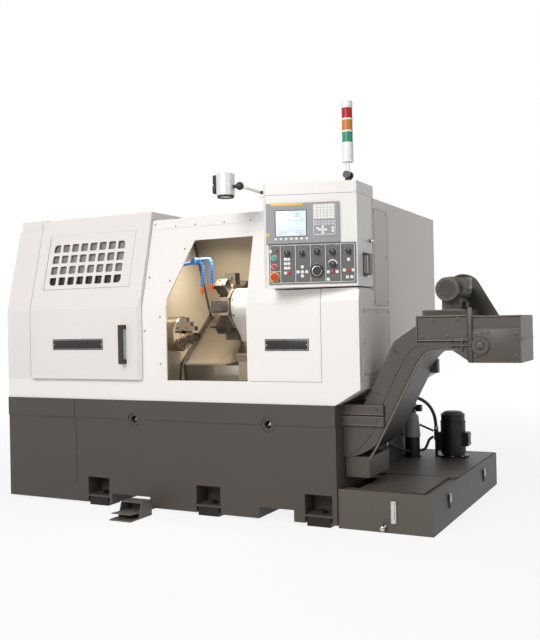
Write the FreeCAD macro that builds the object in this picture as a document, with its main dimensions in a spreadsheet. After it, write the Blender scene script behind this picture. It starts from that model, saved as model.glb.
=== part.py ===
import FreeCAD, Part
import Sketcher
import math
import os
import re

# A slant-bed turning lathe with a sliding door, a three-jaw chuck, an eight-station turret, a
# tailstock, a swinging control box, a chip conveyor and a coolant tank.
# Millimetres. X runs along the spindle from the headstock end to the conveyor end, Y from the
# operator's side to the back, Z up. The origin is on the floor, under the middle of the whole.

doc = FreeCAD.newDocument("TurningLathe")
os.makedirs("parts", exist_ok=True)

# ---------------------------------------------------------------- driving sizes
SIZES = {
    # floor plan and base
    "base_length": 2382, "base_depth": 1490, "base_height": 673, "base_clearance": 15,
    "conveyor_reach": 980, "pedal_reach": 320, "rear_reach": 77, "contact_gap": 0.3,
    "trim_drop": 118, "trim_proud": 6, "trim_seam": 1812, "trim_gap": 4, "scallop_radius": 42,
    "bar_hole_radius": 21, "bar_hole_depth": 70, "bar_hole_left": 1350, "bar_hole_right": 415,
    "fork_left": 1240, "fork_left_width": 290, "fork_right": 262, "fork_right_width": 222,
    "fork_height": 80, "foot_left": 1634, "foot_middle": 822, "foot_right": 111,
    "foot_width": 142, "foot_depth": 120, "foot_block": 50, "pocket_width": 166,
    "pocket_top": 176, "pocket_lip": 12, "pocket_depth": 135, "bolt_radius": 15,
    "bolt_fit": 2, "bolt_head": 23, "bolt_head_height": 19, "well_length": 1230,
    "well_front": 112, "well_width": 356, "well_floor": 368, "plate_inset": 262,
    "plate_width": 312, "plate_low": 130, "plate_tall": 415, "plate_thick": 3,
    "upper_plate_front": 262, "upper_plate_low": 1222, "upper_plate_drop": 57,
    "lower_plate_front": 55, "lower_plate_low": 838, "lower_plate_tall": 362,
    "side_plates_back": 500,
    # sheet-metal enclosure
    "overhang": 150, "overhang_rise": 90, "sill_height": 797, "sill_depth": 46,
    "knee_height": 1250, "lean": 14.4, "sheet": 12, "roof_step": 35,
    "rear_roof_height": 1832, "rail_front": 160, "rail_rise": 69, "opening_left": 1100,
    "opening_top_left": 947, "opening_right": 541.5, "notch_height": 1292,
    "header_tall": 147, "header_band_tall": 61, "band_proud": 4, "corner_seam": 70,
    "wall_left": 1270, "rear_front": 640, "door_rail_y": 415, "door_rail_depth": 30,
    "door_rail_height": 33, "recess_left": 365, "recess_low": 1319, "recess_back": 250,
    # work area
    "drop_y": 450, "drop_z": 870, "slant": 41, "slant_length": 543, "back_wall_lean": 22.4,
    "cover_thick": 4, "fixed_cover_left": 330, "fixed_cover_right": 388, "bed_inset": 80,
    "bed_margin": 60, "rail_low": 90, "rail_far": 430, "rail_width": 40, "rail_high": 30,
    "rail_fit": 0.4, "wall_hole_fit": 30,
    # carriage and turret
    "saddle_left": 900, "saddle_length": 360, "saddle_top": 20, "saddle_under": 20,
    "saddle_inset": 8, "rail_grip": 30, "rail_grip_gap": 4, "cross_rail_inset": 30,
    "cross_rail_width": 25, "cross_rail_high": 12, "left_wing": 335, "right_wing": 380,
    "slide_inset": 46, "slide_low": 40, "slide_tall": 360, "slide_thick": 45,
    "turret_offset": 260, "turret_radius": 138, "turret_thick": 62, "turret_face": 920,
    "turret_hub": 50, "turret_fit": 0.05, "turret_gap": 2, "hub_length": 40,
    "case_radius": 115, "case_round": 8, "case_length": 230, "case_dome": 40,
    "case_dome_radius": 70, "disc_face": 6, "disc_face_radius": 96, "disc_cap": 10,
    "disc_cap_radius": 42, "station_count": 8, "holder_width": 62, "holder_reach": 215,
    "holder_length": 76, "tool_radius": 14, "bar_reach": 70, "tool_reach": 46,
    "tool_square": 20, "tool_drop": 44,
    # headstock, spindle and chuck
    "spindle_y": 280, "spindle_z": 1077, "spindle_radius": 60, "spindle_bore": 31, "bar_feed_radius": 45,
    "bearing_fit": 0.05, "headstock_length": 520, "headstock_half": 150, "headstock_gap": 28,
    "headstock_foot": 20, "headstock_seat": 300, "headstock_back": 130, "shaft_tail": 142,
    "tail_radius_small": 45, "pulley_gap": 52, "pulley_radius": 110, "pulley_width": 80,
    "nose": 2, "chuck_plate": 26, "plate_radius": 85, "chuck_radius": 112,
    "chuck_length": 90, "chuck_chamfer": 6, "jaw_width": 36, "jaw_high": 95, "jaw_inner": 20,
    "jaw_step": 28, "jaw_root": 14, "jaw_slot": 22, "jaw_fit": 0.4, "motor_radius": 130,
    "motor_room": 22, "motor_gap": 10, "motor_neck": 30, "motor_pulley": 75,
    "motor_drop": 254, "belt_thick": 8, "belt_gap": 0.5,
    # tailstock
    "tail_left": 520, "tail_length": 270, "tail_radius": 58, "quill_radius": 36,
    "quill_out": 44, "quill_fit": 0.05, "quill_depth": 250, "quill_margin": 20,
    "centre_length": 45, "centre_step": 12, "centre_radius": 18, "tail_rail_left": 1000,
    "tail_rail_low": 806, "tail_rail_high": 60, "tail_rail_depth": 46,
    "tail_foot_left": 745, "tail_foot_length": 480, "neck_front": 230, "neck_back": 335,
    "foot_front": 262, "foot_waist": 900, "foot_low": 790, "foot_shoulder": 905,
    "foot_top": 945, "foot_back_top": 345, "lip_reach": 25, "lip_thick": 15,
    # door
    "end_width": 225, "door_right": 1273.5, "door_bottom": 803, "door_rise": 21,
    "door_depth": 30, "door_gap": 6, "door_sheet": 10, "door_hood": 50, "door_end": 50,
    "door_bevel": 20, "shoe_inset": 120, "shoe_length": 90, "shoe_cheek": 12, "shoe_lift": 4,
    "hood_back": 470, "hood_notch": 388, "panel_inset": 87, "panel_right": 1373,
    "panel_low": 1380, "panel_drop": 55, "panel_deep": 2, "window_inset": 42,
    "window_rest": 74, "window_sill": 30, "window_drop": 61, "slot_least_wide": 54,
    "slot_least_tall": 50, "slot_bar": 19, "slot_rail": 21, "slot_corner": 9, "slot_round": 26, "handle_x": 1390,
    "handle_low": 900, "handle_tall": 242, "handle_reach": 46, "handle_bar": 30,
    "handle_thick": 14, "handle_foot": 26,
    # control box
    "box_front": 1.5, "box_low": 1327, "cap_lift": 3, "cap_tall": 64,
    "cap_gap": 2, "box_angle": 18.9, "box_face": 495.5, "box_chamfer": 32, "box_back": 236,
    "cap_back": 262, "pivot_left": 300, "pivot_front": 60, "pivot_radius": 20,
    "pivot_length": 70, "pivot_fit": 0.05, "grip_front": 80, "grip_low": 1380,
    "grip_wide": 60, "grip_tall": 134, "grip_thick": 4, "grip_edge": 8, "grip_reach": 40,
    "lock_y": 195, "lock_z": 1584, "lock_radius": 9,
    "display_wide": 400, "display_tall": 220, "display_thick": 14, "display_low": 239,
    "screen_left": 52, "screen_low": 38, "screen_wide": 170, "screen_tall": 142,
    "keypad_left": 264, "keypad_low": 30, "keypad_wide": 112, "keypad_tall": 176,
    "switches_left": 12, "switches_wide": 474, "switches_low": 17, "switches_tall": 220,
    "switches_thick": 8, "knob_radius": 15, "knob_length": 22, "knob_gap": 0.3,
    "stem_radius": 6, "key_size": 15, "key_high": 4, "button_radius": 12,
    "button_length": 7, "button_out": 13, "button_travel": 4, "button_fit": 0.1,
    "stop_radius": 20, "stop_length": 14, "button_t": 41, "start_up": 162, "hold_up": 115,
    "stop_t": 41, "stop_up": 58, "mode_t": 195, "mode_up": 183, "power_t": 447,
    "power_up": 188, "wheel_t": 275, "wheel_up": 85, "wheel_radius": 36, "wheel_thick": 9,
    "wheel_crank": 6, "hub_out": 13.5, "crank_t": 21.6, "crank_up": 12.6, "crank_out": 23.4,
    "crank_long": 18, "stem_end": 1,
    # beacon and work lamp
    "mast_left": 90, "mast_y": 40, "mast_rise": 38, "mast_radius": 9, "mast_reach": 70,
    "mast_eye": 20, "mast_eye_radius": 12, "mast_pin": 5, "mast_play": 0.5,
    "mast_cheek": 5, "mast_cheek_wide": 26, "mast_knob": 21, "mast_knob_long": 14,
    "mast_foot_radius": 34, "mast_foot_thick": 5, "beacon_radius": 31, "beacon_base": 107,
    "beacon_crown": 17, "lens_height": 66, "lens_band": 10, "lens_count": 3,
    "lamp_pin_left": 368, "lamp_pin_front": 104, "lamp_pin": 5, "lamp_eye": 11,
    "lamp_eye_high": 20, "lamp_lug": 16, "lamp_arm_radius": 6, "lamp_reach": 122,
    "lamp_ball": 23, "lamp_ball_left": 485, "lamp_ball_front": 150, "lamp_ball_rise": 5,
    "lamp_stub": 8, "lamp_neck": 39, "lamp_radius": 53, "lamp_sink": 42,
    "lamp_high": 123, "lamp_ring": 12, "lamp_back": 22,
    # chip conveyor
    "conveyor_front": 120, "conveyor_width": 340, "conveyor_low": 375,
    "conveyor_rise": 62.5, "trough_tail": 1200, "toe_x": 170, "bend_height": 980,
    "lip_start": 610, "head_left": 432, "head_right": 722, "hood_low": 905,
    "lid_top": 1104, "lid_start": 1020, "incline_thick": 200.7, "well_top": 553,
    "trough_sheet": 5, "strip_inset": 60, "lower_bend": 300, "upper_bend": 150, "bar_length": 242,
    "bar_thick": 20, "bar_tall": 54, "upper_bar": 617, "lower_bar": 556, "drain_left": 6,
    "drain_low": 266, "drain_wide": 141, "rear_box_left": 394, "rear_box_wide": 55,
    "rear_box_low": 829, "rear_box_tall": 80, "rear_box_deep": 40, "hood_side": 8,
    "head_low": 1020, "head_top": 1156, "hood_width": 258, "hood_top": 1150,
    "shaft_x": 775, "shaft_height": 995, "shaft_radius": 22, "bearing_radius": 43,
    "bearing_thick": 8, "sprocket_radius": 50, "belt_dip": 74, "wheel_rim": 40, "wheel_wide": 20,
    "chain_wheel": 60, "belt_lift": 22, "belt_rise": 130, "belt_back": 150,
    "belt_crest": 1030, "belt_plate": 6, "belt_width": 316, "cleat_pitch": 150,
    "cleat_high": 16, "platform_left": 455, "platform_wide": 235, "platform_front": 160,
    "platform_deep": 290, "platform_thick": 29, "drive_radius": 68, "drive_length": 270,
    "drive_front": 130, "fan_length": 52, "gear_radius": 52, "guard_radius": 95,
    "guard_lean": 30.26, "chain_reach": 347.3, "guard_start": 469, "guard_thick": 36,
    "drive_step": 6, "drive_slot": 8, "drive_foot": 96, "drive_inset": 20, "drive_box": 68,
    "drive_box_start": 24, "drive_box_drop": 4, "wheel_inset": 10, "chain_play": 4,
    "chain_wide": 21, "shaft_end": 2,
    # coolant tank, pump, filter and lines
    "tank_gap": 1, "tank_length": 534, "tank_depth": 1552, "tank_height": 216,
    "tank_front": 15, "tank_wall": 4, "lid_lip": 10, "inlet_left": 12, "inlet_wide": 90,
    "front_lid_left": 112, "front_lid_wide": 365, "front_lid_y": 50, "front_lid_deep": 480,
    "rear_lid_y": 548, "rear_lid_deep": 1005, "lid_thick": 14, "hatch_rim": 20,
    "gauge_left": 303, "gauge_wide": 34, "gauge_low": 53, "gauge_tall": 120, "gauge_thick": 6,
    "valve_left": 263, "valve_height": 26, "valve_radius": 11, "valve_long": 26,
    "lever_wide": 8, "front_latch": 320, "rear_latch": 1160, "latch_low": 90, "latch_wide": 46,
    "latch_tall": 70, "latch_thick": 9, "pump_x": 312, "pump_y": 1290, "pump_radius": 82,
    "pump_high": 300, "pump_flange": 17, "pump_plate": 12, "pump_waist": 8,
    "pump_waist_top": 26, "pump_cap": 62, "pump_step": 4, "pump_dome": 16,
    "terminal_low": 76, "terminal_out": 23, "terminal_wide": 80, "terminal_tall": 90,
    "tee_x": 205, "tee_y": 1262, "tee_low": 330, "tee_top": 402, "tee_arm": 352,
    "tee_radius": 15, "riser_radius": 10, "outlet_left": 222, "outlet_wide": 52,
    "outlet_low": 262, "outlet_tall": 123, "filter_x": 58, "filter_y": 1200,
    "filter_radius": 50, "filter_high": 385, "filter_flange": 8, "filter_plate": 10,
    "filter_foot": 135, "filter_bowl": 277, "filter_step": 4, "filter_taper": 10,
    "filter_neck": 20, "filter_port": 326, "filter_stem": 10, "filter_reach": 34,
    "filter_knob": 23, "return_radius": 11, "arc_share": 0.45, "elbow_radius": 9,
    "elbow_bend": 28, "link_radius": 7, "suction_radius": 8, "suction_bend": 48,
    "gland_radius": 17, "gland_long": 22, "hose_radius": 11, "hose_bend": 34,
    "wall_block": 50, "wall_block_long": 40, "fork_block": 30, "fork_block_low": 1511,
    "fork_block_tall": 46, "nozzle_long": 52, "nozzle_tip": 5,
    "nozzle_wide": 14, "nozzle_grip": 8,
    # foot switch
    "pedal_x": 1230, "pedal_width": 150, "pedal_depth": 215, "pedal_base": 8,
    "pedal_front": 320, "pedal_high": 92, "pedal_open": 85, "pedal_sheet": 5,
    "tread_front": 12, "tread_rise": 38, "tread_back": 175, "tread_axis": 24,
    "tread_pin": 5, "tread_play": 1, "pedal_slope": 30, "lead_radius": 4, "lead_lift": 4,
    # electrical cabinet
    "cabinet_inset": 132, "cabinet_width": 1500, "cabinet_depth": 230, "cabinet_low": 740,
    "cabinet_drop": 72, "cabinet_door": 48, "cabinet_skin": 3, "gear_margin": 120,
    "gear_pitch": 260, "gear_depth": 70, "gear_tall": 110, "switch_out": 26,
    "switch_radius": 40, "switch_edge": 120, "leaf_grip": 24,
}

PLACES = {
    "left_x": "-(base_length + conveyor_reach) / 2",
    "right_x": "base_length - (base_length + conveyor_reach) / 2",
    "front_y": "pedal_reach - (pedal_reach + base_depth + rear_reach) / 2",
    "back_y": "front_y + base_depth",
    "side_x": "right_x + overhang",
    "roof_height": "rear_roof_height - roof_step",
    "header_bottom": "roof_height - header_tall",
    "header_band": "roof_height - header_band_tall",
    "rail_top": "roof_height + rail_rise",
    "cap_low": "rear_roof_height + cap_lift",
    "cap_top": "cap_low + cap_tall",
    "box_top": "cap_low - cap_gap",
    "mast_axis": "cap_top + mast_rise",
    "lamp_ball_z": "cap_top + lamp_ball_rise",
    "lamp_low": "cap_top - lamp_sink",
    "upper_plate_tall": "rear_roof_height - upper_plate_drop - upper_plate_low",
    "cabinet_tall": "rear_roof_height - cabinet_drop - cabinet_low",
    "cabinet_left": "base_length - cabinet_inset",
    "plate_left": "base_length - plate_inset",
    "door_left": "base_length - end_width",
    "door_height": "rear_roof_height + door_rise",
    "panel_left": "door_left - panel_inset",
    "panel_high": "roof_height - panel_drop",
    "window_left": "panel_left - window_inset",
    "window_low": "panel_low + window_sill",
    "window_span": "window_left - window_rest - panel_right + slot_bar",
    "window_climb": "panel_high - window_drop - window_low + slot_rail",
    "window_columns": "floor(window_span / (slot_least_wide + slot_bar))",
    "window_rows": "floor(window_climb / (slot_least_tall + slot_rail))",
    "window_pitch_x": "window_span / window_columns",
    "window_pitch_z": "window_climb / window_rows",
    "slot_wide": "window_pitch_x - slot_bar",
    "slot_tall": "window_pitch_z - slot_rail",
    "motor_reach": "base_length - wall_left - headstock_gap - headstock_length - pulley_gap",
    "motor_length": "motor_reach - pulley_width - motor_gap - motor_room",
    "wall_x": "right_x - wall_left",
    "bed_front_y": "drop_y + bed_inset * sin(slant)",
    "bed_front_z": "drop_z - bed_inset * cos(slant)",
    "bed_back_y": "bed_front_y + slant_length * cos(slant)",
    "bed_back_z": "bed_front_z + slant_length * sin(slant)",
    "slant_back": "drop_y + slant_length * cos(slant)",
    "slant_top": "drop_z + slant_length * sin(slant)",
    "back_wall_top": "slant_back - (roof_height - sheet - slant_top) * tan(back_wall_lean)",
    "turret_y": "spindle_y + turret_offset * cos(slant)",
    "turret_z": "spindle_z + turret_offset * sin(slant)",
    "turret_along": "(spindle_y - drop_y) * cos(slant) + (spindle_z - drop_z) * sin(slant) + turret_offset",
    "turret_rise": "(drop_y - spindle_y) * sin(slant) + (spindle_z - drop_z) * cos(slant)",
    "slide_top": "saddle_top + rail_fit + slide_thick",
    "case_start": "saddle_left - turret_face + turret_thick + turret_gap",
    "chuck_face": "chuck_plate + chuck_length",
    "motor_z": "spindle_z - motor_drop",
    "face_x": "side_x - box_face * cos(box_angle)",
    "face_y": "front_y + box_front - box_face * sin(box_angle)",
    "drive_x": "shaft_x - chain_reach * sin(guard_lean)",
    "drive_height": "shaft_height + chain_reach * cos(guard_lean)",
}

sizes = doc.addObject("Spreadsheet::Sheet", "sizes")
for row, (alias, value) in enumerate(SIZES.items(), 1):
    sizes.set(f"A{row}", alias)
    sizes.set(f"B{row}", str(value))
    sizes.setAlias(f"B{row}", alias)
doc.recompute()

OWNER = {alias: f"sizes.{alias}" for alias in SIZES}
OWNER.update({alias: f"places.{alias}" for alias in PLACES})


def link(text):
    """Return an expression in which every alias names the sheet that holds it."""
    return re.sub(r"[a-z][a-z_]*", lambda word: OWNER.get(word[0], word[0]), str(text))


places = doc.addObject("Spreadsheet::Sheet", "places")
for row, (alias, formula) in enumerate(PLACES.items(), 1):
    places.set(f"A{row}", alias)
    places.set(f"B{row}", "=" + link(formula).replace("places.", ""))
    places.setAlias(f"B{row}", alias)
    doc.recompute()


def val(alias):
    """Return the number that a sheet holds under an alias."""
    sheet = sizes if alias in SIZES else places
    return float(getattr(sheet, alias))


PARTS = []


def keep(thing, label):
    """Name a finished sub-part."""
    thing.Label = label
    PARTS.append(thing)
    return thing


def bind(thing, **texts):
    """Tie properties of an object to the sheets."""
    for prop, text in texts.items():
        thing.setExpression(prop, link(text))
    return thing


def put(thing, x="0", y="0", z="0", axis=None, angle=None):
    """Place an object by expressions, with an optional turn about an axis."""
    if axis:
        thing.Placement = FreeCAD.Placement(FreeCAD.Vector(), FreeCAD.Rotation(axis, 1))
        thing.setExpression("Placement.Rotation.Angle", link(angle))
    thing.setExpression("Placement.Base.x", link(x))
    thing.setExpression("Placement.Base.y", link(y))
    thing.setExpression("Placement.Base.z", link(z))
    return thing


AXIS_X = FreeCAD.Vector(1, 0, 0)
AXIS_Y = FreeCAD.Vector(0, 1, 0)
AXIS_Z = FreeCAD.Vector(0, 0, 1)


def box(x, y, z, length, width, height):
    """A rectangular block from its low corner and its size."""
    solid = doc.addObject("Part::Box", "Block")
    bind(solid, Length=length, Width=width, Height=height)
    return put(solid, x, y, z)


def rod(x, y, z, radius, height, along="z"):
    """A round bar from the centre of its low end."""
    solid = doc.addObject("Part::Cylinder", "Rod")
    bind(solid, Radius=radius, Height=height)
    if along == "x":
        return put(solid, x, y, z, AXIS_Y, "90")
    if along == "y":
        return put(solid, x, y, z, AXIS_X, "-90")
    return put(solid, x, y, z)


def cut(base, *tools):
    """Take the tools away from the base."""
    result = doc.addObject("Part::Cut", "Cut")
    result.Base = base
    result.Tool = tools[0] if len(tools) == 1 else group(*tools)
    return result


def fuse(*solids):
    """Join solids into one."""
    result = doc.addObject("Part::MultiFuse", "Joined")
    result.Shapes = list(solids)
    result.Refine = True
    return result


def group(*solids):
    """Hold separate solids together as one sub-part."""
    result = doc.addObject("Part::Compound", "Group")
    result.Links = list(solids)
    return result


scratch = doc.addObject("App::FeaturePython", "scratch")
scratch.addProperty("App::PropertyFloat", "amount")


def amount(text):
    """Work out the present number of an expression."""
    scratch.setExpression("amount", link(text))
    scratch.recompute()
    return scratch.amount


PLANES = {"xy": "XY_Plane", "xz": "XZ_Plane", "yz": "YZ_Plane"}


def sketch_on(body, plane, points):
    """Draw a closed outline whose corners are tied to the sheets."""
    sketch = body.newObject("Sketcher::SketchObject", "Outline")
    origin_plane = [f for f in body.Origin.OriginFeatures if f.Role == PLANES[plane]][0]
    sketch.AttachmentSupport = [(origin_plane, "")]
    sketch.MapMode = "FlatFace"
    corners = [FreeCAD.Vector(amount(pair[0]), amount(pair[1]), 0) for pair in points]
    total = len(corners)
    for number in range(total):
        sketch.addGeometry(Part.LineSegment(corners[number], corners[(number + 1) % total]))
    for number in range(total):
        sketch.addConstraint(Sketcher.Constraint("Coincident", number, 2, (number + 1) % total, 1))
    for number, pair in enumerate(points):
        for kind, text, value in zip(("DistanceX", "DistanceY"), pair, corners[number][:2]):
            index = sketch.addConstraint(Sketcher.Constraint(kind, -1, 1, number, 1, value))
            sketch.setExpression(f"Constraints[{index}]", link(text))
    return sketch


def prism(plane, points, length, reverse=False):
    """A padded outline."""
    body = doc.addObject("PartDesign::Body", "Body")
    sketch = sketch_on(body, plane, points)
    pad = body.newObject("PartDesign::Pad", "Pad")
    pad.Profile = sketch
    bind(pad, Length=length)
    pad.Reversed = reverse
    doc.recompute([sketch, pad, body])
    return body


def turned(points, about="x"):
    """A revolved half-section: pairs of length along the axis and radius."""
    body = doc.addObject("PartDesign::Body", "Body")
    if about == "x":
        sketch = sketch_on(body, "xz", points)
    else:
        sketch = sketch_on(body, "xz", [(radius, along) for along, radius in points])
    turn = body.newObject("PartDesign::Revolution", "Revolution")
    turn.Profile = sketch
    turn.ReferenceAxis = (sketch, ["H_Axis" if about == "x" else "V_Axis"])
    turn.Angle = 360
    doc.recompute([sketch, turn, body])
    return body


def slanted(thing, x):
    """Place an object in the bed's frame: Y up the slant, Z square to it."""
    return put(group(thing), x, "front_y + drop_y", "drop_z", AXIS_X, "slant")


def spun(thing, angle):
    """Turn an object about the X axis of its own frame."""
    return put(group(thing), "0", "0", "0", AXIS_X, angle)


def faced(thing):
    """Place an object in the frame of the control box's face."""
    return put(thing, "face_x", "face_y", "box_low", AXIS_Z, "box_angle")


def lean_at(height):
    """Return how far the front leans back at a height, as an expression."""
    return f"({height} - knee_height) * tan(lean)"


# ---------------------------------------------------------------- base
def base_frame():
    """The grey base: a block with fork channels, foot pockets, a chip well and a front trim."""
    block = box("left_x", "front_y", "base_clearance",
                "base_length", "base_depth", "base_height - base_clearance")
    tools = []
    for edge, width in (("fork_left", "fork_left_width"), ("fork_right", "fork_right_width")):
        tools.append(box(f"right_x - {edge} - {width}", "front_y", "base_clearance",
                         width, "base_depth", "fork_height - base_clearance"))
    for foot in ("foot_left", "foot_middle", "foot_right"):
        low_x = f"right_x - {foot} - pocket_width / 2"
        for low_y in ("front_y", "back_y - pocket_depth"):
            tools.append(box(low_x, low_y, "base_clearance",
                             "pocket_width", "pocket_depth", "foot_block + bolt_fit - base_clearance"))
            tools.append(box(low_x, low_y, "foot_block + bolt_fit + pocket_lip", "pocket_width",
                             "pocket_depth", "pocket_top - foot_block - bolt_fit - pocket_lip"))
        for bolt_y in ("front_y + foot_depth / 2", "back_y - foot_depth / 2"):
            tools.append(rod(f"right_x - {foot}", bolt_y, "foot_block",
                             "bolt_radius + bolt_fit", "pocket_lip + 2 * bolt_fit"))
    for hole in ("bar_hole_left", "bar_hole_right"):
        tools.append(rod(f"right_x - {hole}", "front_y - trim_proud", "base_height - trim_drop",
                         "bar_hole_radius", "bar_hole_depth", "y"))
    tools.append(box("right_x - well_length", "front_y + well_front", "well_floor",
                     "well_length", "well_width", "base_height - well_floor"))
    frame = cut(fuse(block, *front_trim()), *tools)
    return keep(frame, "base_frame")


def front_trim():
    """Two proud strips under the enclosure, scalloped over the bar holes."""
    strips = []
    for low_x, length in (("left_x", "base_length - trim_seam - trim_gap"),
                          ("right_x - trim_seam", "trim_seam")):
        strips.append(box(low_x, "front_y - trim_proud", "base_height - trim_drop",
                          length, "trim_proud", "trim_drop"))
    scallops = [rod(f"right_x - {hole}", "front_y - trim_proud", "base_height - trim_drop",
                    "scallop_radius", "trim_proud", "y")
                for hole in ("bar_hole_left", "bar_hole_right")]
    return strips[0], cut(strips[1], *scallops)


def levelling_feet():
    """Six foot blocks, each with a hexagon-headed bolt standing on it."""
    pieces = []
    for foot in ("foot_left", "foot_middle", "foot_right"):
        for low_y in ("front_y", "back_y - foot_depth"):
            block = box(f"right_x - {foot} - foot_width / 2", low_y, "0",
                        "foot_width", "foot_depth", "foot_block")
            shank = rod(f"right_x - {foot}", f"{low_y} + foot_depth / 2", "foot_block",
                        "bolt_radius", "bolt_fit + pocket_lip")
            head = doc.addObject("Part::Prism", "BoltHead")
            head.Polygon = 6
            bind(head, Circumradius="bolt_head", Height="bolt_head_height")
            put(head, f"right_x - {foot}", f"{low_y} + foot_depth / 2",
                "foot_block + bolt_fit + pocket_lip")
            pieces.append(fuse(block, shank, head))
    return keep(group(*pieces), "levelling_feet")


def access_plates():
    """The bolted plates on the base's front and on the right wall."""
    front = box("right_x - plate_left", "front_y - plate_thick", "plate_low",
                "plate_width", "plate_thick", "plate_tall")
    upper = box("side_x", "front_y + upper_plate_front", "upper_plate_low",
                "plate_thick", "side_plates_back - upper_plate_front", "upper_plate_tall")
    lower = box("side_x", "front_y + lower_plate_front", "lower_plate_low",
                "plate_thick", "side_plates_back - lower_plate_front", "lower_plate_tall")
    return keep(group(front, upper, lower), "access_plates")


# ---------------------------------------------------------------- enclosure
def front_outline(low, high, front, thick):
    """The side view of a front panel: upright to the knee, then leaning back."""
    lean_top = lean_at(high)
    return [(front, low), (front, "knee_height"), (f"{front} + {lean_top}", high),
            (f"{front} + {thick} + {lean_top}", high), (f"{front} + {thick}", "knee_height"),
            (f"{front} + {thick}", low)]


def front_panel(left, right, low, high):
    """A bent front panel between two distances from the base's right end."""
    panel = prism("yz", front_outline(low, high, "0", "sheet"), f"{left} - ({right})")
    return put(panel, f"right_x - ({left})", "front_y")


def leaning_panel(left, right, low, high, front="0", thick="sheet"):
    """A panel of the leaning part of the front only."""
    outline = [(f"{front} + {lean_at(low)}", low), (f"{front} + {lean_at(high)}", high),
               (f"{front} + {thick} + {lean_at(high)}", high),
               (f"{front} + {thick} + {lean_at(low)}", low)]
    panel = prism("yz", outline, f"{left} - ({right})")
    return put(panel, f"right_x - ({left})", "front_y")


def front_apron():
    """The white band on top of the base, whose top is the sill."""
    band = prism("xz", [("-base_length", "base_height"), ("0", "base_height"),
                        ("overhang", "base_height + overhang_rise"), ("overhang", "sill_height"),
                        ("-base_length", "sill_height")], "sill_depth")
    return keep(put(band, "right_x", "front_y + sill_depth"), "front_apron")


def left_end_cover():
    """The left hood: an end wall, a front and a top, open to the machine."""
    outline = [("0", "sill_height"), ("0", "knee_height"), (lean_at("roof_height"), "roof_height"),
               ("rear_front", "roof_height"), ("rear_front", "sill_height")]
    outer = put(prism("yz", outline, "base_length - door_left - door_gap"), "left_x", "front_y")
    inner_outline = [("sheet", "sill_height"), ("sheet", "knee_height"),
                     (f"sheet + {lean_at('(roof_height - sheet)')}", "roof_height - sheet"),
                     ("rear_front", "roof_height - sheet"), ("rear_front", "sill_height")]
    inner = put(prism("yz", inner_outline, "base_length"), "left_x + sheet", "front_y")
    rail_box = box("left_x", "front_y + rail_front", "roof_height",
                   "base_length - door_left - door_gap", "rear_front - rail_front",
                   "rail_top - roof_height")
    wall = box("left_x", "front_y + sill_depth", "base_height",
               "sheet", "rear_front - sill_depth", "sill_height - base_height")
    bar_feed = rod("left_x - sheet", "front_y + spindle_y", "spindle_z", "bar_feed_radius",
                   "3 * sheet", "x")
    return keep(fuse(cut(outer, inner, bar_feed), rail_box, wall), "left_end_cover")


def headstock_cover():
    """The fixed front behind the door, with the slanting left edge of the opening."""
    panel = front_panel("door_left", "opening_top_left", "sill_height", "roof_height - sheet")
    beyond = "overhang"
    notch = prism("xz", [("-opening_left", "sill_height"), ("-opening_left", "notch_height"),
                         ("-opening_top_left", "header_bottom"), ("-wall_left", "header_bottom"),
                         ("-wall_left", "roof_height"), (beyond, "roof_height"),
                         (beyond, "sill_height")], "rear_front")
    put(notch, "right_x", "front_y + rear_front")
    return keep(cut(panel, notch), "headstock_cover")


def header_panel():
    """The header over the opening, its proud band, the front roof and the door's rail."""
    header = leaning_panel("wall_left", "opening_right", "header_bottom", "roof_height")
    band = leaning_panel("wall_left", "opening_right", "header_band", "roof_height",
                         "-band_proud", "sheet")
    roof = box("right_x - door_left", f"front_y + {lean_at('roof_height')}", "roof_height - sheet",
               "door_left + overhang - sheet", f"rear_front - {lean_at('roof_height')}", "sheet")
    bay = box("right_x - recess_left", "front_y", "roof_height - 2 * sheet",
              "recess_left + overhang", "recess_back", "3 * sheet")
    rail = box("right_x - door_left", "front_y + door_rail_y", "roof_height",
               "door_left - opening_right", "door_rail_depth", "door_rail_height")
    return keep(fuse(header, band, cut(roof, bay), rail), "header_panel")


def right_front_cover():
    """The fixed cover right of the opening, with the recess that takes the control box."""
    lower = front_panel("opening_right", "corner_seam", "sill_height", "recess_low")
    upper = leaning_panel("opening_right", "recess_left", "recess_low", "(roof_height - sheet)")
    back = box("right_x - recess_left", "front_y + recess_back", "recess_low",
               "recess_left + overhang - sheet", "sheet", "roof_height - sheet - recess_low")
    ledge = box("right_x - recess_left", f"front_y + {lean_at('recess_low')}", "recess_low - sheet",
                "recess_left + overhang - sheet", f"recess_back + sheet - {lean_at('recess_low')}",
                "sheet")
    cheek = put(prism("yz", [(lean_at("recess_low"), "recess_low - sheet"),
                             (lean_at("(roof_height - sheet)"), "roof_height - sheet"),
                             ("recess_back + sheet", "roof_height - sheet"),
                             ("recess_back + sheet", "recess_low - sheet")], "sheet"),
                "right_x - recess_left - sheet", "front_y")
    return keep(fuse(lower, upper, back, ledge, cheek), "right_front_cover")


def right_wall():
    """The right end wall, its slanting foot over the base and the corner of the front."""
    outline = [("0", "base_height"), ("overhang", "base_height + overhang_rise"),
               ("overhang", "rear_roof_height"), ("overhang - sheet", "rear_roof_height"),
               ("overhang - sheet", "base_height + overhang_rise"), ("-sheet", "base_height")]
    wall = put(prism("xz", outline, "base_depth - sill_depth"), "right_x", "back_y")
    flank = box("side_x - sheet", "front_y", "sill_height", "sheet", "sill_depth",
                "cap_low - sill_height")
    clear = prism("yz", [("0", "knee_height"), (lean_at("recess_low"), "recess_low - sheet"),
                         ("recess_back", "recess_low - sheet"), ("recess_back", "cap_top"),
                         ("-overhang", "cap_top"), ("-overhang", "knee_height")], "2 * overhang")
    put(clear, "right_x", "front_y")
    corner = front_panel("corner_seam - contact_gap", "-overhang", "sill_height",
                         "(recess_low - sheet - contact_gap)")
    return keep(fuse(cut(fuse(wall, flank), clear), corner), "right_wall")


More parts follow.
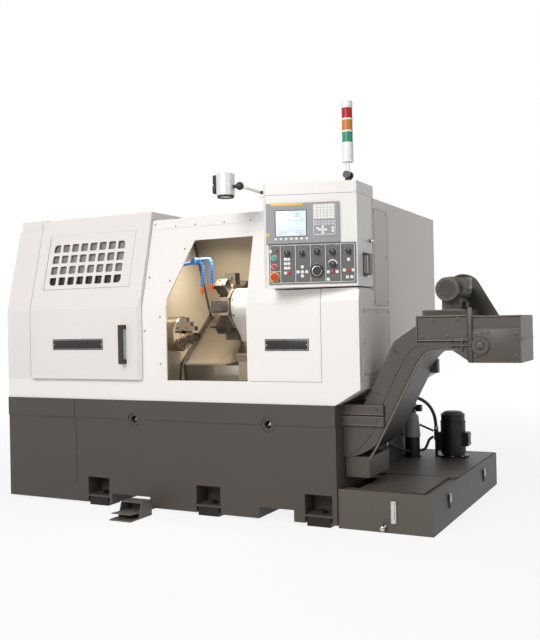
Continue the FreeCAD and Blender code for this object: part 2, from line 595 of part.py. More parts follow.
def rear_housing():
    """The rear cover: left end, back and top, open to the front and with a cabinet bay."""
    outer = box("left_x", "front_y + rear_front", "base_height",
                "base_length + overhang - sheet", "base_depth - rear_front",
                "rear_roof_height - base_height")
    inner = box("left_x + sheet", "front_y + rear_front", "base_height",
                "base_length + overhang - sheet", "base_depth - rear_front - sheet",
                "rear_roof_height - base_height - sheet")
    bay = box("right_x - cabinet_left", "back_y - 2 * sheet", "cabinet_low",
              "cabinet_width", "2 * sheet", "cabinet_tall")
    lip = box("left_x", "front_y + rear_front", "roof_height - sheet",
              "base_length + overhang - sheet", "sheet", "rear_roof_height - roof_height + sheet")
    foot = prism("xz", [("-sheet", "base_height"), ("overhang - sheet", "base_height + overhang_rise"),
                        ("overhang", "base_height + overhang_rise"), ("overhang", "base_height")],
                 "base_depth")
    put(foot, "right_x", "back_y")
    return keep(fuse(cut(outer, inner, bay, foot), lip), "rear_housing")


def headstock_wall():
    """The wall that closes the work area on the chuck's side."""
    wall = prism("yz", [("sill_depth + contact_gap", "base_height"), ("drop_y", "base_height"),
                        ("drop_y", "drop_z"), ("slant_back", "slant_top"),
                        ("back_wall_top", "roof_height - sheet"),
                        (f"2 * sheet + {lean_at('(roof_height - sheet)')}", "roof_height - sheet"),
                        ("2 * sheet", "knee_height"), ("2 * sheet", "sill_height + contact_gap"),
                        ("sill_depth + contact_gap", "sill_height + contact_gap")], "sheet")
    put(wall, "wall_x - sheet", "front_y")
    hole = rod("wall_x - 2 * sheet", "front_y + spindle_y", "spindle_z",
               "spindle_radius + wall_hole_fit", "3 * sheet", "x")
    return keep(cut(wall, hole), "headstock_wall")


def back_wall():
    """The leaning wall behind the work area."""
    wall = prism("yz", [("slant_back", "slant_top"), ("back_wall_top", "roof_height - sheet"),
                        ("back_wall_top + sheet", "roof_height - sheet"),
                        ("slant_back + sheet", "slant_top")],
                 "wall_left + overhang - sheet")
    return keep(put(wall, "wall_x", "front_y"), "back_wall")


# ---------------------------------------------------------------- bed and covers
def slant_bed():
    """The cast bed under the covers, with two guide rails up the slant."""
    bed = prism("yz", [("drop_y", "base_height"), ("drop_y", "bed_front_z"),
                       ("bed_front_y", "bed_front_z"), ("bed_back_y", "bed_back_z"),
                       ("bed_back_y", "base_height")], "base_length - 2 * bed_margin")
    put(bed, "left_x + bed_margin", "front_y")
    rails = [slab("0", low, "-bed_inset", "wall_left - bed_margin", "rail_width", "rail_high")
             for low in ("rail_low", "rail_far")]
    return keep(fuse(bed, slanted(group(*rails), "wall_x")), "slant_bed")


def slab(x, along, square, length, tall, thick):
    """A block in the bed's frame, for joining there before it is placed."""
    return box(x, along, square, length, tall, thick)


def way_covers():
    """The fixed covers: the drop with the tailstock rail, and a plate at each end of the slant."""
    drop = box("wall_x", "front_y + drop_y - cover_thick", "base_height",
               "wall_left - sheet - contact_gap", "cover_thick", "drop_z - base_height")
    rail = box("right_x - tail_rail_left", "front_y + drop_y - cover_thick - tail_rail_depth",
               "tail_rail_low", "tail_rail_left - bed_margin", "tail_rail_depth", "tail_rail_high")
    left = slanted(slab("0", "0", "-cover_thick", "fixed_cover_left", "slant_length",
                        "cover_thick"), "wall_x")
    right = slanted(slab("0", "0", "-cover_thick", "fixed_cover_right", "slant_length",
                         "cover_thick"), "side_x - sheet - fixed_cover_right")
    return keep(group(fuse(drop, rail), left, right), "way_covers")


def saddle():
    """The carriage on the slant rails, with a cover plate on each side and two cross rails."""
    plate = slab("0", "saddle_inset", "-saddle_under", "saddle_length",
                 "slant_length - 2 * saddle_inset", "saddle_under + saddle_top")
    pieces = [plate]
    grooves = []
    for low in ("rail_low", "rail_far"):
        pieces.append(slab("0", f"{low} - rail_grip", "-bed_inset + rail_grip_gap",
                           "saddle_length", "rail_width + 2 * rail_grip",
                           "bed_inset - rail_grip_gap - saddle_under"))
        grooves.append(slab("-saddle_length", f"{low} - rail_fit", "-bed_inset",
                            "3 * saddle_length", "rail_width + 2 * rail_fit",
                            "rail_high + rail_fit"))
    for low in ("cross_rail_inset", "saddle_length - cross_rail_inset - cross_rail_width"):
        pieces.append(slab(low, "saddle_inset", "saddle_top", "cross_rail_width",
                           "slant_length - 2 * saddle_inset", "cross_rail_high"))
    pieces.append(slab("-left_wing", "saddle_inset", "contact_gap", "left_wing",
                       "slant_length - 2 * saddle_inset", "cover_thick"))
    pieces.append(slab("saddle_length", "saddle_inset", "contact_gap", "right_wing",
                       "slant_length - 2 * saddle_inset", "cover_thick"))
    return keep(slanted(cut(fuse(*pieces), *grooves), "right_x - saddle_left"), "saddle")


def cross_slide():
    """The slide that carries the turret up and down the slant."""
    block = slab("slide_inset", "slide_low", "saddle_top + rail_fit",
                 "saddle_length - 2 * slide_inset", "slide_tall", "slide_thick")
    grooves = [slab(f"{low} - rail_fit", "-slant_length", "saddle_top",
                    "cross_rail_width + 2 * rail_fit", "3 * slant_length", "cross_rail_high + rail_fit")
               for low in ("cross_rail_inset", "saddle_length - cross_rail_inset - cross_rail_width")]
    return keep(slanted(cut(block, *grooves), "right_x - saddle_left"), "cross_slide")


def turret_housing():
    """The white turret casting: a domed barrel on a foot, with the bearing bore."""
    barrel = turned([("0", "0"), ("0", "case_radius - case_round"), ("case_round", "case_radius"),
                     ("case_length - case_dome", "case_radius"), ("case_length", "case_dome_radius"),
                     ("case_length", "0")])
    put(barrel, "case_start", "turret_along", "turret_rise")
    foot = slab("case_start", "turret_along - case_radius", "slide_top", "case_length - case_dome",
                "2 * case_radius", "turret_rise - slide_top")
    bore = rod("case_start", "turret_along", "turret_rise", "turret_hub + turret_fit",
               "hub_length + 2 * turret_gap", "x")
    return keep(slanted(cut(fuse(barrel, foot), bore), "right_x - saddle_left"), "turret_housing")


def turret_frame(thing):
    """Place an object on the turret's axis, X along it."""
    return put(thing, "right_x - turret_face", "front_y + turret_y", "turret_z")


def turret_disc():
    """The eight-sided tool disc with its hub."""
    disc = doc.addObject("Part::Prism", "Disc")
    bind(disc, Polygon="station_count", Circumradius="turret_radius / cos(180 / station_count)",
         Height="turret_thick")
    put(disc, "0", "0", "0", AXIS_Y, "90")
    face = rod("-disc_face", "0", "0", "disc_face_radius", "disc_face", "x")
    cap = rod("-disc_face - disc_cap", "0", "0", "disc_cap_radius", "disc_cap", "x")
    hub = rod("turret_thick", "0", "0", "turret_hub", "turret_gap + hub_length", "x")
    turn = spun(fuse(disc, face, cap, hub), "180 / station_count")
    return keep(turret_frame(group(turn)), "turret_disc")


def tool_holders():
    """One block on each flat of the disc, turning tools and boring bars by turns."""
    pieces = []
    for station in range(int(val("station_count"))):
        block = box("turret_thick - holder_length - 1", "-holder_width / 2", "turret_radius",
                    "holder_length", "holder_width", "holder_reach - turret_radius")
        if station % 2:
            tool = rod("-bar_reach", "0", "(holder_reach + turret_radius) / 2", "tool_radius",
                       "bar_reach", "x")
        else:
            tool = box("-tool_reach", "-holder_width / 2 - tool_square / 2",
                       "holder_reach - tool_drop", "tool_reach + holder_length / 2", "tool_square",
                       "tool_square")
        holder = fuse(block, tool)
        pieces.append(spun(holder, f"{station} * 360 / station_count"))
    return keep(turret_frame(group(*pieces)), "tool_holders")


# ---------------------------------------------------------------- spindle
def spindle_frame(thing, x):
    """Place an object on the spindle axis."""
    return put(thing, x, "front_y + spindle_y", "spindle_z")


def headstock():
    """The headstock casting on the bed, bored for the spindle."""
    casting = prism("yz", [("spindle_y - headstock_half", "spindle_z + headstock_half"),
                           ("spindle_y - headstock_half", "spindle_z - headstock_half"),
                           ("drop_y - headstock_foot", "bed_front_z + headstock_foot"),
                           ("bed_front_y", "bed_front_z"),
                           ("bed_front_y + headstock_seat * cos(slant)",
                            "bed_front_z + headstock_seat * sin(slant)"),
                           ("spindle_y + headstock_half + headstock_back",
                            "spindle_z + headstock_half")], "headstock_length")
    put(casting, "wall_x - headstock_gap - headstock_length", "front_y")
    bore = rod("wall_x - headstock_gap - 2 * headstock_length", "front_y + spindle_y", "spindle_z",
               "spindle_radius + bearing_fit", "3 * headstock_length", "x")
    return keep(cut(casting, bore), "headstock")


def spindle():
    """The hollow spindle with its collar, pulley and nose."""
    back = "-headstock_gap - headstock_length"
    shaft = turned([(f"{back} - shaft_tail", "spindle_bore"), (f"{back} - shaft_tail", "tail_radius_small"),
                    (f"{back} - pulley_gap - pulley_width", "tail_radius_small"),
                    (f"{back} - pulley_gap - pulley_width", "pulley_radius"),
                    (f"{back} - pulley_gap", "pulley_radius"),
                    (f"{back} - pulley_gap", "spindle_radius"),
                    ("nose", "spindle_radius"), ("nose", "spindle_bore")])
    return keep(spindle_frame(shaft, "wall_x"), "spindle")


def chuck_body():
    """The chuck: back plate, bored body with a chamfered rim and three jaw slots."""
    body = turned([("0", "spindle_bore + nose"), ("0", "plate_radius"), ("chuck_plate", "plate_radius"),
                   ("chuck_plate", "chuck_radius"), ("chuck_face - chuck_chamfer", "chuck_radius"),
                   ("chuck_face", "chuck_radius - chuck_chamfer"), ("chuck_face", "spindle_bore + nose")])
    slots = [spun(box("chuck_face - jaw_root - jaw_fit", "-jaw_slot / 2 - jaw_fit", "0",
                      "jaw_root + 2 * jaw_fit", "jaw_slot + 2 * jaw_fit", "chuck_radius"),
                  f"{third} * 120") for third in range(3)]
    return keep(spindle_frame(group(cut(body, *slots)), "wall_x + nose"), "chuck_body")


def chuck_jaws():
    """Three stepped jaws, each with a root in its slot."""
    for third in range(3):
        outline = [("jaw_fit", "jaw_inner"), ("jaw_high", "jaw_inner"),
                   ("jaw_high", "jaw_inner + jaw_step"),
                   ("2 * jaw_high / 3", "jaw_inner + jaw_step"),
                   ("2 * jaw_high / 3", "jaw_inner + 2 * jaw_step"),
                   ("jaw_high / 3", "jaw_inner + 2 * jaw_step"),
                   ("jaw_high / 3", "jaw_inner + 3 * jaw_step"),
                   ("jaw_fit", "jaw_inner + 3 * jaw_step")]
        steps = put(prism("xz", outline, "jaw_width"), "0", "jaw_width / 2")
        root = box("-jaw_root", "-jaw_slot / 2", "jaw_inner", "jaw_root + 2 * jaw_fit", "jaw_slot",
                   "3 * jaw_step")
        jaw = spun(fuse(steps, root), f"{third} * 120")
        keep(spindle_frame(group(jaw), "wall_x + nose + chuck_face"), f"chuck_jaw_{third + 1}")


def spindle_motor():
    """The spindle motor on its foot, with the driving pulley."""
    back = "-headstock_gap - headstock_length - pulley_gap - pulley_width"
    body = turned([(f"{back} - motor_gap - motor_length", "0"),
                   (f"{back} - motor_gap - motor_length", "motor_radius"),
                   (f"{back} - motor_gap", "motor_radius"), (f"{back} - motor_gap", "motor_neck"),
                   (back, "motor_neck"), (back, "motor_pulley"),
                   (f"{back} + pulley_width", "motor_pulley"), (f"{back} + pulley_width", "0")])
    put(body, "wall_x", "front_y + spindle_y", "motor_z")
    foot = box(f"wall_x {back} - motor_gap - motor_length", "front_y + spindle_y - motor_radius",
               "base_height", "motor_length", "2 * motor_radius", "motor_z - base_height")
    return keep(fuse(body, foot), "spindle_motor")


def drive_belt():
    """The flat belt round both pulleys, its runs tangent to them."""
    low = FreeCAD.Vector(0, val("front_y") + val("spindle_y"), val("motor_z"))
    high = FreeCAD.Vector(0, val("front_y") + val("spindle_y"), val("spindle_z"))
    small = val("motor_pulley") + val("belt_gap")
    large = val("pulley_radius") + val("belt_gap")
    thick = val("belt_thick")
    outer = belt_outline(low, small + thick, high, large + thick)
    inner = belt_outline(low, small, high, large)
    width = val("pulley_width") - 2 * val("belt_thick")
    loop = doc.addObject("Part::Feature", "Belt")
    loop.Shape = outer.extrude(AXIS_X * width).cut(inner.extrude(AXIS_X * width))
    start = (val("wall_x") - val("headstock_gap") - val("headstock_length") - val("pulley_gap")
             - val("pulley_width") + val("belt_thick"))
    loop.Placement = FreeCAD.Placement(FreeCAD.Vector(start, 0, 0), FreeCAD.Rotation())
    return keep(loop, "drive_belt")


def belt_outline(low, low_radius, high, high_radius):
    """Return the face inside the outer tangents of two circles, one above the other."""
    tilt = math.asin((high_radius - low_radius) / (high.z - low.z))
    side = {sign: (math.cos(tilt) * sign, -math.sin(tilt)) for sign in (-1, 1)}

    def rim(centre, radius, direction):
        return centre + FreeCAD.Vector(0, direction[0] * radius, direction[1] * radius)

    left_low, right_low = (rim(low, low_radius, side[sign]) for sign in (-1, 1))
    left_high, right_high = (rim(high, high_radius, side[sign]) for sign in (-1, 1))
    bottom = low - AXIS_Z * low_radius
    top = high + AXIS_Z * high_radius
    edges = [Part.Arc(left_low, bottom, right_low).toShape(),
             Part.LineSegment(right_low, right_high).toShape(),
             Part.Arc(right_high, top, left_high).toShape(),
             Part.LineSegment(left_high, left_low).toShape()]
    return Part.Face(Part.Wire(edges))


# ---------------------------------------------------------------- tailstock
def tailstock():
    """The tailstock: a barrel on a neck, on a foot that grips the rail."""
    barrel = spindle_frame(rod("0", "0", "0", "tail_radius", "tail_length", "x"),
                           "right_x - tail_left")
    neck = put(prism("yz", [("neck_front", "foot_top"), ("neck_front", "spindle_z"),
                            ("neck_back", "spindle_z"), ("foot_back_top", "foot_top")],
                     "tail_length"), "right_x - tail_left", "front_y")
    grip = "drop_y - cover_thick - tail_rail_depth"
    foot = put(prism("yz", [("foot_front", "foot_low"), (f"{grip} - rail_fit", "foot_low"),
                            (f"{grip} - rail_fit", "foot_shoulder"), ("foot_back_top", "foot_top"),
                            ("neck_front", "foot_top"), ("foot_front", "foot_waist")],
                     "tail_foot_length"), "right_x - tail_foot_left", "front_y")
    lips = [box("right_x - tail_foot_left", f"front_y + {grip} - rail_fit", low,
                "tail_foot_length", "lip_reach", "lip_thick")
            for low in ("tail_rail_low + tail_rail_high + rail_fit",
                        "tail_rail_low - rail_fit - lip_thick")]
    bore = spindle_frame(rod("0", "0", "0", "quill_radius + quill_fit", "quill_depth", "x"),
                         "right_x - tail_left")
    return keep(cut(fuse(barrel, neck, foot, *lips), bore), "tailstock")


def quill():
    """The tailstock quill with its live centre."""
    bar = turned([("-quill_out - centre_length", "0"), ("-quill_out - centre_step", "centre_radius"),
                  ("-quill_out", "centre_radius"), ("-quill_out", "quill_radius"),
                  ("quill_depth - quill_margin", "quill_radius"),
                  ("quill_depth - quill_margin", "0")])
    return keep(spindle_frame(bar, "right_x - tail_left"), "quill")


# ---------------------------------------------------------------- door
def door():
    """The sliding door: a bent shell with a hood over the roof, a guarded window and a bevelled end."""
    front = "-door_depth"
    lean_top = f"{lean_at('door_height')} - door_depth"
    length = "door_left - door_right"
    outer = prism("yz", [(front, "door_bottom"), (front, "knee_height"), (lean_top, "door_height"),
                         ("hood_back", "door_height"), ("hood_back", "door_height - door_hood"),
                         (f"{lean_at('(door_height - door_hood)')} - door_gap",
                          "door_height - door_hood"),
                         ("-door_gap", "knee_height"), ("-door_gap", "door_bottom")], length)
    bend(outer, "Bevel", [(length, front, "(door_bottom + knee_height) / 2"),
                          (length, f"{lean_top} / 2 + {front} / 2", "(knee_height + door_height) / 2")],
         "door_bevel")
    skin = "door_sheet - door_depth"
    under = "door_height - door_sheet"
    hollow = prism("yz", [(skin, "door_bottom - door_hood"), (skin, "knee_height"),
                          (f"{skin} + {lean_at('(' + under + ')')}", under),
                          ("hood_back - door_sheet", under),
                          ("hood_back - door_sheet", "door_bottom - door_hood")],
                   f"{length} - door_sheet - door_end")
    put(hollow, "door_sheet")
    notch = box("-door_sheet", "hood_notch", "door_height - 2 * door_hood",
                f"{length} + 2 * door_sheet", "hood_back - door_sheet - hood_notch",
                "2 * door_hood - door_sheet")
    recess = prism("yz", [(f"{front} - door_depth + {lean_at('panel_low')}", "panel_low"),
                          (f"{front} + panel_deep + {lean_at('panel_low')}", "panel_low"),
                          (f"{front} + panel_deep + {lean_at('panel_high')}", "panel_high"),
                          (f"{front} - door_depth + {lean_at('panel_high')}", "panel_high")],
                   "panel_left - panel_right")
    put(recess, "door_left - panel_left")
    shoes = []
    for start in ("shoe_inset", f"{length} - shoe_inset - shoe_length"):
        shoe = box(start, "door_rail_y - shoe_cheek - contact_gap", "door_height - door_hood + shoe_lift",
                   "shoe_length", "door_rail_depth + 2 * shoe_cheek + 2 * contact_gap",
                   "door_hood - door_sheet - shoe_lift")
        groove = box(start, "door_rail_y - contact_gap", "roof_height", "shoe_length",
                     "door_rail_depth + 2 * contact_gap", "door_rail_height + contact_gap")
        shoes.append(cut(shoe, groove))
        shoes.append(box(start, "-door_depth + door_sheet", "door_bottom", "shoe_length",
                         "door_depth - door_sheet - contact_gap", "shoe_cheek"))
    skin_parts = cut(outer, hollow, notch, recess, *window_slots())
    shell = put(group(fuse(skin_parts, *shoes)), "right_x - door_left", "front_y")
    return keep(shell, "sliding_door")


def window_slots():
    """Rounded slots in columns and rows that fill the window, the corner ones cut rounder outside."""
    slots = []
    columns = int(val("window_columns"))
    rows = int(val("window_rows"))
    for column in range(columns):
        for row in range(rows):
            slot = box(f"door_left - window_left + {column} * window_pitch_x", "-door_depth",
                       f"window_low + {row} * window_pitch_z", "slot_wide", "sill_depth + rail_front",
                       "slot_tall")
            doc.recompute([slot])
            corner = (column in (0, columns - 1)) and (row in (0, rows - 1))
            outside = (column == columns - 1, row == rows - 1)
            slots.append(rounded(slot, outside if corner else None))
    return slots


def rounded(slot, outside):
    """Round the four long edges of a slot, one of them wider at the window's corners."""
    result = doc.addObject("Part::Fillet", "Slot")
    result.Base = slot
    middle = slot.Shape.BoundBox.Center
    edges = []
    for number, edge in enumerate(slot.Shape.Edges, 1):
        centre = edge.CenterOfMass
        if abs(centre.y - middle.y) < val("contact_gap"):
            here = (centre.x > middle.x, centre.z > middle.z)
            radius = val("slot_round") if here == outside else val("slot_corner")
            edges.append((number, radius, radius))
    result.Edges = edges
    return result


def bend(body, name, spots, radius):
    """Bevel or round the edges of a padded outline whose middles are at the given spots."""
    base = body.Tip
    middles = [FreeCAD.Vector(*(amount(text) for text in spot)) for spot in spots]
    names = [f"Edge{number}" for number, edge in enumerate(base.Shape.Edges, 1)
             if any(edge.CenterOfMass.distanceToPoint(spot) < 1 for spot in middles)]
    kind = "PartDesign::Chamfer" if name == "Bevel" else "PartDesign::Fillet"
    result = body.newObject(kind, name)
    result.Base = (base, names)
    bind(result, **{"Size" if name == "Bevel" else "Radius": radius})
    doc.recompute([result, body])
    return body


def door_handle():
    """The door's bow handle."""
    low = "front_y - door_depth"
    bar = box("right_x - handle_x - handle_bar / 2", f"{low} - handle_reach", "handle_low",
              "handle_bar", "handle_thick", "handle_tall")
    feet = [box("right_x - handle_x - handle_bar / 2", f"{low} - handle_reach + handle_thick", foot,
                "handle_bar", "handle_reach - handle_thick", "handle_foot")
            for foot in ("handle_low", "handle_low + handle_tall - handle_foot")]
    return keep(fuse(bar, *feet), "door_handle")


# ---------------------------------------------------------------- control box
def box_plan(back, low, high):
    """The plan of the control box and its cap, padded between two heights."""
    plan = [("overhang", "box_front"),
            ("overhang - box_face * cos(box_angle)", "box_front - box_face * sin(box_angle)"),
            ("overhang - box_face * cos(box_angle) - box_chamfer",
             "box_front - box_face * sin(box_angle) + box_chamfer"),
            ("overhang - box_face * cos(box_angle) - box_chamfer", back), ("overhang", back)]
    return put(prism("xy", plan, f"{high} - {low}"), "right_x", "front_y", low)


def control_cap():
    """The fixed cap over the control box, with the hinge pin, the mast fork and the lamp lug."""
    cap = box_plan("cap_back", "cap_low", "cap_top")
    left = "right_x + overhang - box_face * cos(box_angle) - box_chamfer"
    upstand = box(left, "front_y + recess_back", "roof_height",
                  "box_face * cos(box_angle) + box_chamfer - sheet", "cap_back - recess_back",
                  "cap_low - roof_height + contact_gap")
    pin = rod("right_x - pivot_left", "front_y - pivot_front", "cap_low - pivot_length",
              "pivot_radius", "pivot_length + contact_gap")
    mast_foot = rod("right_x + mast_left", "front_y + mast_y", "cap_top",
                    "mast_foot_radius", "mast_foot_thick")
    pieces = [cap, upstand, pin, mast_foot]
    for side in ("mast_y - mast_eye / 2 - mast_play - mast_cheek", "mast_y + mast_eye / 2 + mast_play"):
        pieces.append(box("right_x + mast_left - mast_cheek_wide / 2", f"front_y + {side}", "cap_top",
                          "mast_cheek_wide", "mast_cheek", "mast_axis + mast_cheek_wide / 2 - cap_top"))
    pieces.append(rod("right_x + mast_left",
                      "front_y + mast_y - mast_eye / 2 - mast_play - mast_cheek - mast_knob_long",
                      "mast_axis", "mast_knob", "mast_knob_long", "y"))
    pieces.append(rod("right_x + mast_left", "front_y + mast_y + mast_eye / 2 + mast_play + mast_cheek",
                      "mast_axis", "mast_knob", "mast_knob_long", "y"))
    pieces.append(rod("right_x + mast_left", "front_y + mast_y - mast_eye / 2 - mast_cheek",
                      "mast_axis", "mast_pin", "mast_eye + 2 * mast_cheek", "y"))
    pieces.append(box("right_x - lamp_pin_left - lamp_eye", "front_y - lamp_pin_front - lamp_eye",
                      "cap_low", "lamp_pin_left + lamp_eye + overhang - box_face * cos(box_angle)"
                      " - box_chamfer + sheet", "2 * lamp_eye", "lamp_lug"))
    pieces.append(rod("right_x - lamp_pin_left", "front_y - lamp_pin_front", "cap_low + lamp_lug",
                      "lamp_pin", "lamp_eye_high + 2 * contact_gap"))
    return keep(fuse(*pieces), "control_cap")


def control_box():
    """The swinging control box with its hinge bore, the side handle and the lock."""
    case = box_plan("box_back", "box_low", "box_top")
    bore = rod("right_x - pivot_left", "front_y - pivot_front", "box_top - pivot_length",
               "pivot_radius + pivot_fit", "pivot_length + cap_gap")
    side = "side_x - grip_thick"
    plate = box(side, "front_y + grip_front", "grip_low", "2 * grip_thick", "grip_wide", "grip_tall")
    arch = box(side, "front_y + grip_front + grip_edge", "grip_low + grip_edge", "grip_reach",
               "grip_wide - 2 * grip_edge", "grip_tall - 2 * grip_edge")
    hand = box(side, "front_y + grip_front", "grip_low + 2 * grip_edge", "grip_reach - grip_edge",
               "grip_wide", "grip_tall - 4 * grip_edge")
    lock = rod(side, "front_y + lock_y", "lock_z", "lock_radius", "grip_thick + lock_radius", "x")
    return keep(fuse(cut(case, bore), plate, cut(arch, hand), lock), "control_box")


def display_unit():
    """The display with its sunk screen and its raised key field."""
    unit = box("0", "-display_thick", "display_low", "display_wide", "display_thick", "display_tall")
    screen = box("screen_left", "-display_thick - panel_deep", "display_low + screen_low",
                 "screen_wide", "2 * panel_deep", "screen_tall")
    keys = box("keypad_left", "-display_thick - panel_deep", "display_low + keypad_low",
               "keypad_wide", "panel_deep", "keypad_tall")
    return keep(faced(group(fuse(cut(unit, screen), keys))), "display_unit")


# Controls on the face: distance from the left edge, height above the box's underside.
KNOBS = {"axis_knob": (112, 186), "zone_knob": (275, 191), "speed_knob": (360, 187),
         "door_knob": (360, 118)}
KEYS = [(22, 198), (103, 153), (121, 153), (103, 129), (121, 129), (103, 105),
        (121, 105), (103, 78), (121, 78), (195, 109), (171, 82), (195, 82), (219, 82),
        (195, 60), (336, 78), (360, 78), (384, 78), (336, 38), (447, 143), (423, 85), (447, 85),
        (471, 85), (439, 48), (463, 48)]


def switch_panel():
    """The switch panel with its fixed knobs and keys and the bores of the moving controls."""
    plate = box("switches_left", "-switches_thick", "switches_low",
                "switches_wide", "switches_thick", "switches_tall")
    pieces = [plate]
    for across, up in KNOBS.values():
        pieces.append(rod(f"{across}", "-switches_thick - knob_length", f"{up}",
                          "knob_radius", "knob_length", "y"))
    for across, up in KEYS:
        pieces.append(box(f"{across} - key_size / 2", "-switches_thick - key_high",
                          f"{up} - key_size / 2", "key_size", "key_high", "key_size"))
    bores = [rod(across, "-2 * switches_thick", up, f"stem_radius + {fit}", "2 * switches_thick", "y")
             for across, up, fit in (("stop_t", "stop_up", "button_fit"),
                                     ("button_t", "start_up", "button_fit"),
                                     ("button_t", "hold_up", "button_fit"),
                                     ("mode_t", "mode_up", "pivot_fit"),
                                     ("power_t", "power_up", "pivot_fit"),
                                     ("wheel_t", "wheel_up", "pivot_fit"))]
    return keep(faced(cut(fuse(*pieces), *bores)), "switch_panel")


def push_button(label, across, up, radius, reach):
    """A sprung button on its stem in the panel's bore."""
    head = rod(across, "-button_out - " + reach, up, radius, reach, "y")
    stem = rod(across, "-button_out", up, "stem_radius", "button_out - button_travel - stem_end", "y")
    return keep(faced(group(fuse(head, stem))), label)


def turn_knob(label, across, up, radius, reach):
    """A knob with a grip bar on its stem in the panel's bore."""
    out = "-switches_thick - knob_gap"
    disc = rod(across, f"{out} - {reach} / 2", up, radius, f"{reach} / 2", "y")
    grip = box(f"{across} - {radius} / 3", f"{out} - {reach}", f"{up} - {radius} * 0.9",
               f"2 * {radius} / 3", f"{reach} / 2", f"1.8 * {radius}")
    stem = rod(across, out, up, "stem_radius", "switches_thick + knob_gap - stem_end", "y")
    return keep(faced(group(fuse(disc, grip, stem))), label)


def handwheel():
    """The hand pulse wheel: a dial with a small crank knob."""
    out = "-switches_thick - knob_gap"
    dial = rod("wheel_t", f"{out} - wheel_thick", "wheel_up", "wheel_radius", "wheel_thick", "y")
    hub = rod("wheel_t", f"{out} - hub_out", "wheel_up", "wheel_radius / 2", "wheel_thick", "y")
    crank = rod("wheel_t + crank_t", f"{out} - crank_out", "wheel_up + crank_up", "wheel_crank",
                "crank_long", "y")
    stem = rod("wheel_t", out, "wheel_up", "stem_radius", "switches_thick + knob_gap - stem_end", "y")
    return keep(faced(group(fuse(dial, hub, crank, stem))), "handwheel")


# ---------------------------------------------------------------- beacon and lamp
def beacon_mast():
    """The folding mast with its eye and the white base of the beacon."""
    eye = rod("0", "-mast_eye / 2", "0", "mast_eye_radius", "mast_eye", "y")
    pole = rod("0", "0", "0", "mast_radius", "mast_reach")
    foot = rod("0", "0", "mast_reach", "beacon_radius", "beacon_base")
    bore = rod("0", "-mast_eye", "0", "mast_pin + pivot_fit", "2 * mast_eye", "y")
    cap = rod("0", "0", "mast_reach + beacon_base + lens_count * lens_height", "beacon_radius",
              "lens_band + beacon_crown")
    core = rod("0", "0", "mast_reach + beacon_base", "mast_radius", "lens_count * lens_height")
    mast = cut(fuse(eye, pole, foot, core, cap), bore)
    return keep(put(group(mast), "right_x + mast_left", "front_y + mast_y", "mast_axis"), "beacon_mast")


def beacon_lenses():
    """Three lenses on the mast's core, each with a plain band over it."""
    rings = []
    for number in range(int(val("lens_count"))):
        low = f"mast_reach + beacon_base + {number} * lens_height"
        tube = turned([("0", "mast_radius"), ("0", "beacon_radius - 2"),
                       ("lens_height - lens_band", "beacon_radius - 2"),
                       ("lens_height - lens_band", "beacon_radius"), ("lens_height", "beacon_radius"),
                       ("lens_height", "mast_radius")], "z")
        rings.append(put(tube, "0", "0", low))
    return keep(put(group(*rings), "right_x + mast_left", "front_y + mast_y", "mast_axis"),
                "beacon_lenses")


def lamp_arm():
    """The swivelling arm with its ball."""
    eye = rod("right_x - lamp_pin_left", "front_y - lamp_pin_front", "cap_low + lamp_lug + contact_gap",
              "lamp_eye", "lamp_eye_high - contact_gap")
    bore = rod("right_x - lamp_pin_left", "front_y - lamp_pin_front", "cap_low", "lamp_pin + pivot_fit",
               "lamp_lug + 2 * lamp_eye_high")
    start = "cap_low + lamp_lug + lamp_eye_high / 2"
    bar = rod("right_x - lamp_pin_left", "front_y - lamp_pin_front", start, "lamp_arm_radius", "lamp_reach")
    bar.Placement = FreeCAD.Placement(bar.Placement.Base, FreeCAD.Rotation(AXIS_Z, FreeCAD.Vector(
        val("lamp_pin_left") - val("lamp_ball_left"), val("lamp_pin_front") - val("lamp_ball_front"),
        val("lamp_ball_z") - amount(start))))
    ball = doc.addObject("Part::Sphere", "Ball")
    bind(ball, Radius="lamp_ball")
    put(ball, "right_x - lamp_ball_left", "front_y - lamp_ball_front", "lamp_ball_z")
    socket = rod("right_x - lamp_ball_left - 2 * lamp_ball", "front_y - lamp_ball_front", "lamp_ball_z",
                 "lamp_stub + pivot_fit", "2 * lamp_ball - lamp_stub + 2", "x")
    return keep(cut(fuse(eye, bar, ball), bore, socket), "lamp_arm")


def lamp_head():
    """The round work lamp with its ring, bracket and stub."""
    centre = "right_x - lamp_ball_left - lamp_neck - lamp_radius"
    level = "front_y - lamp_ball_front"
    body = rod(centre, level, "lamp_low", "lamp_radius", "lamp_high")
    ring = rod(centre, level, "lamp_low - lamp_ring", "lamp_radius - lamp_ring / 2", "lamp_ring")
    bracket = box(f"{centre} - lamp_radius - lamp_back", f"{level} - lamp_radius / 2",
                  "lamp_low + lamp_ring", "lamp_radius + lamp_back", "lamp_radius", "lamp_high - lamp_ring")
    stub = rod(f"{centre}", level, "lamp_ball_z", "lamp_stub", "lamp_radius + lamp_neck - lamp_stub", "x")
    collar = rod(f"{centre} + lamp_radius - lamp_ring", level, "lamp_ball_z", "lamp_stub + lamp_ring / 2",
                 "lamp_neck - lamp_ball + lamp_ring - contact_gap", "x")
    return keep(fuse(body, ring, bracket, stub, collar), "lamp_head")


# ---------------------------------------------------------------- chip conveyor
def climb(height, shift):
    """Return where a line of the incline stands at a height, moved to the left by a shift."""
    return f"(toe_x + ({height} - conveyor_low) / tan(conveyor_rise) - ({shift}))"


def trough_outline(skin):
    """The side view of the trough, moved inwards by its sheet where asked."""
    side = f"{skin} / sin(conveyor_rise)"
    low = f"(conveyor_low + {skin})"
    turn = f"(bend_height + {skin})"
    return [("-trough_tail", low), (climb(low, side), low), (climb(turn, side), turn),
            (f"lip_start + {skin} / 2", turn)]


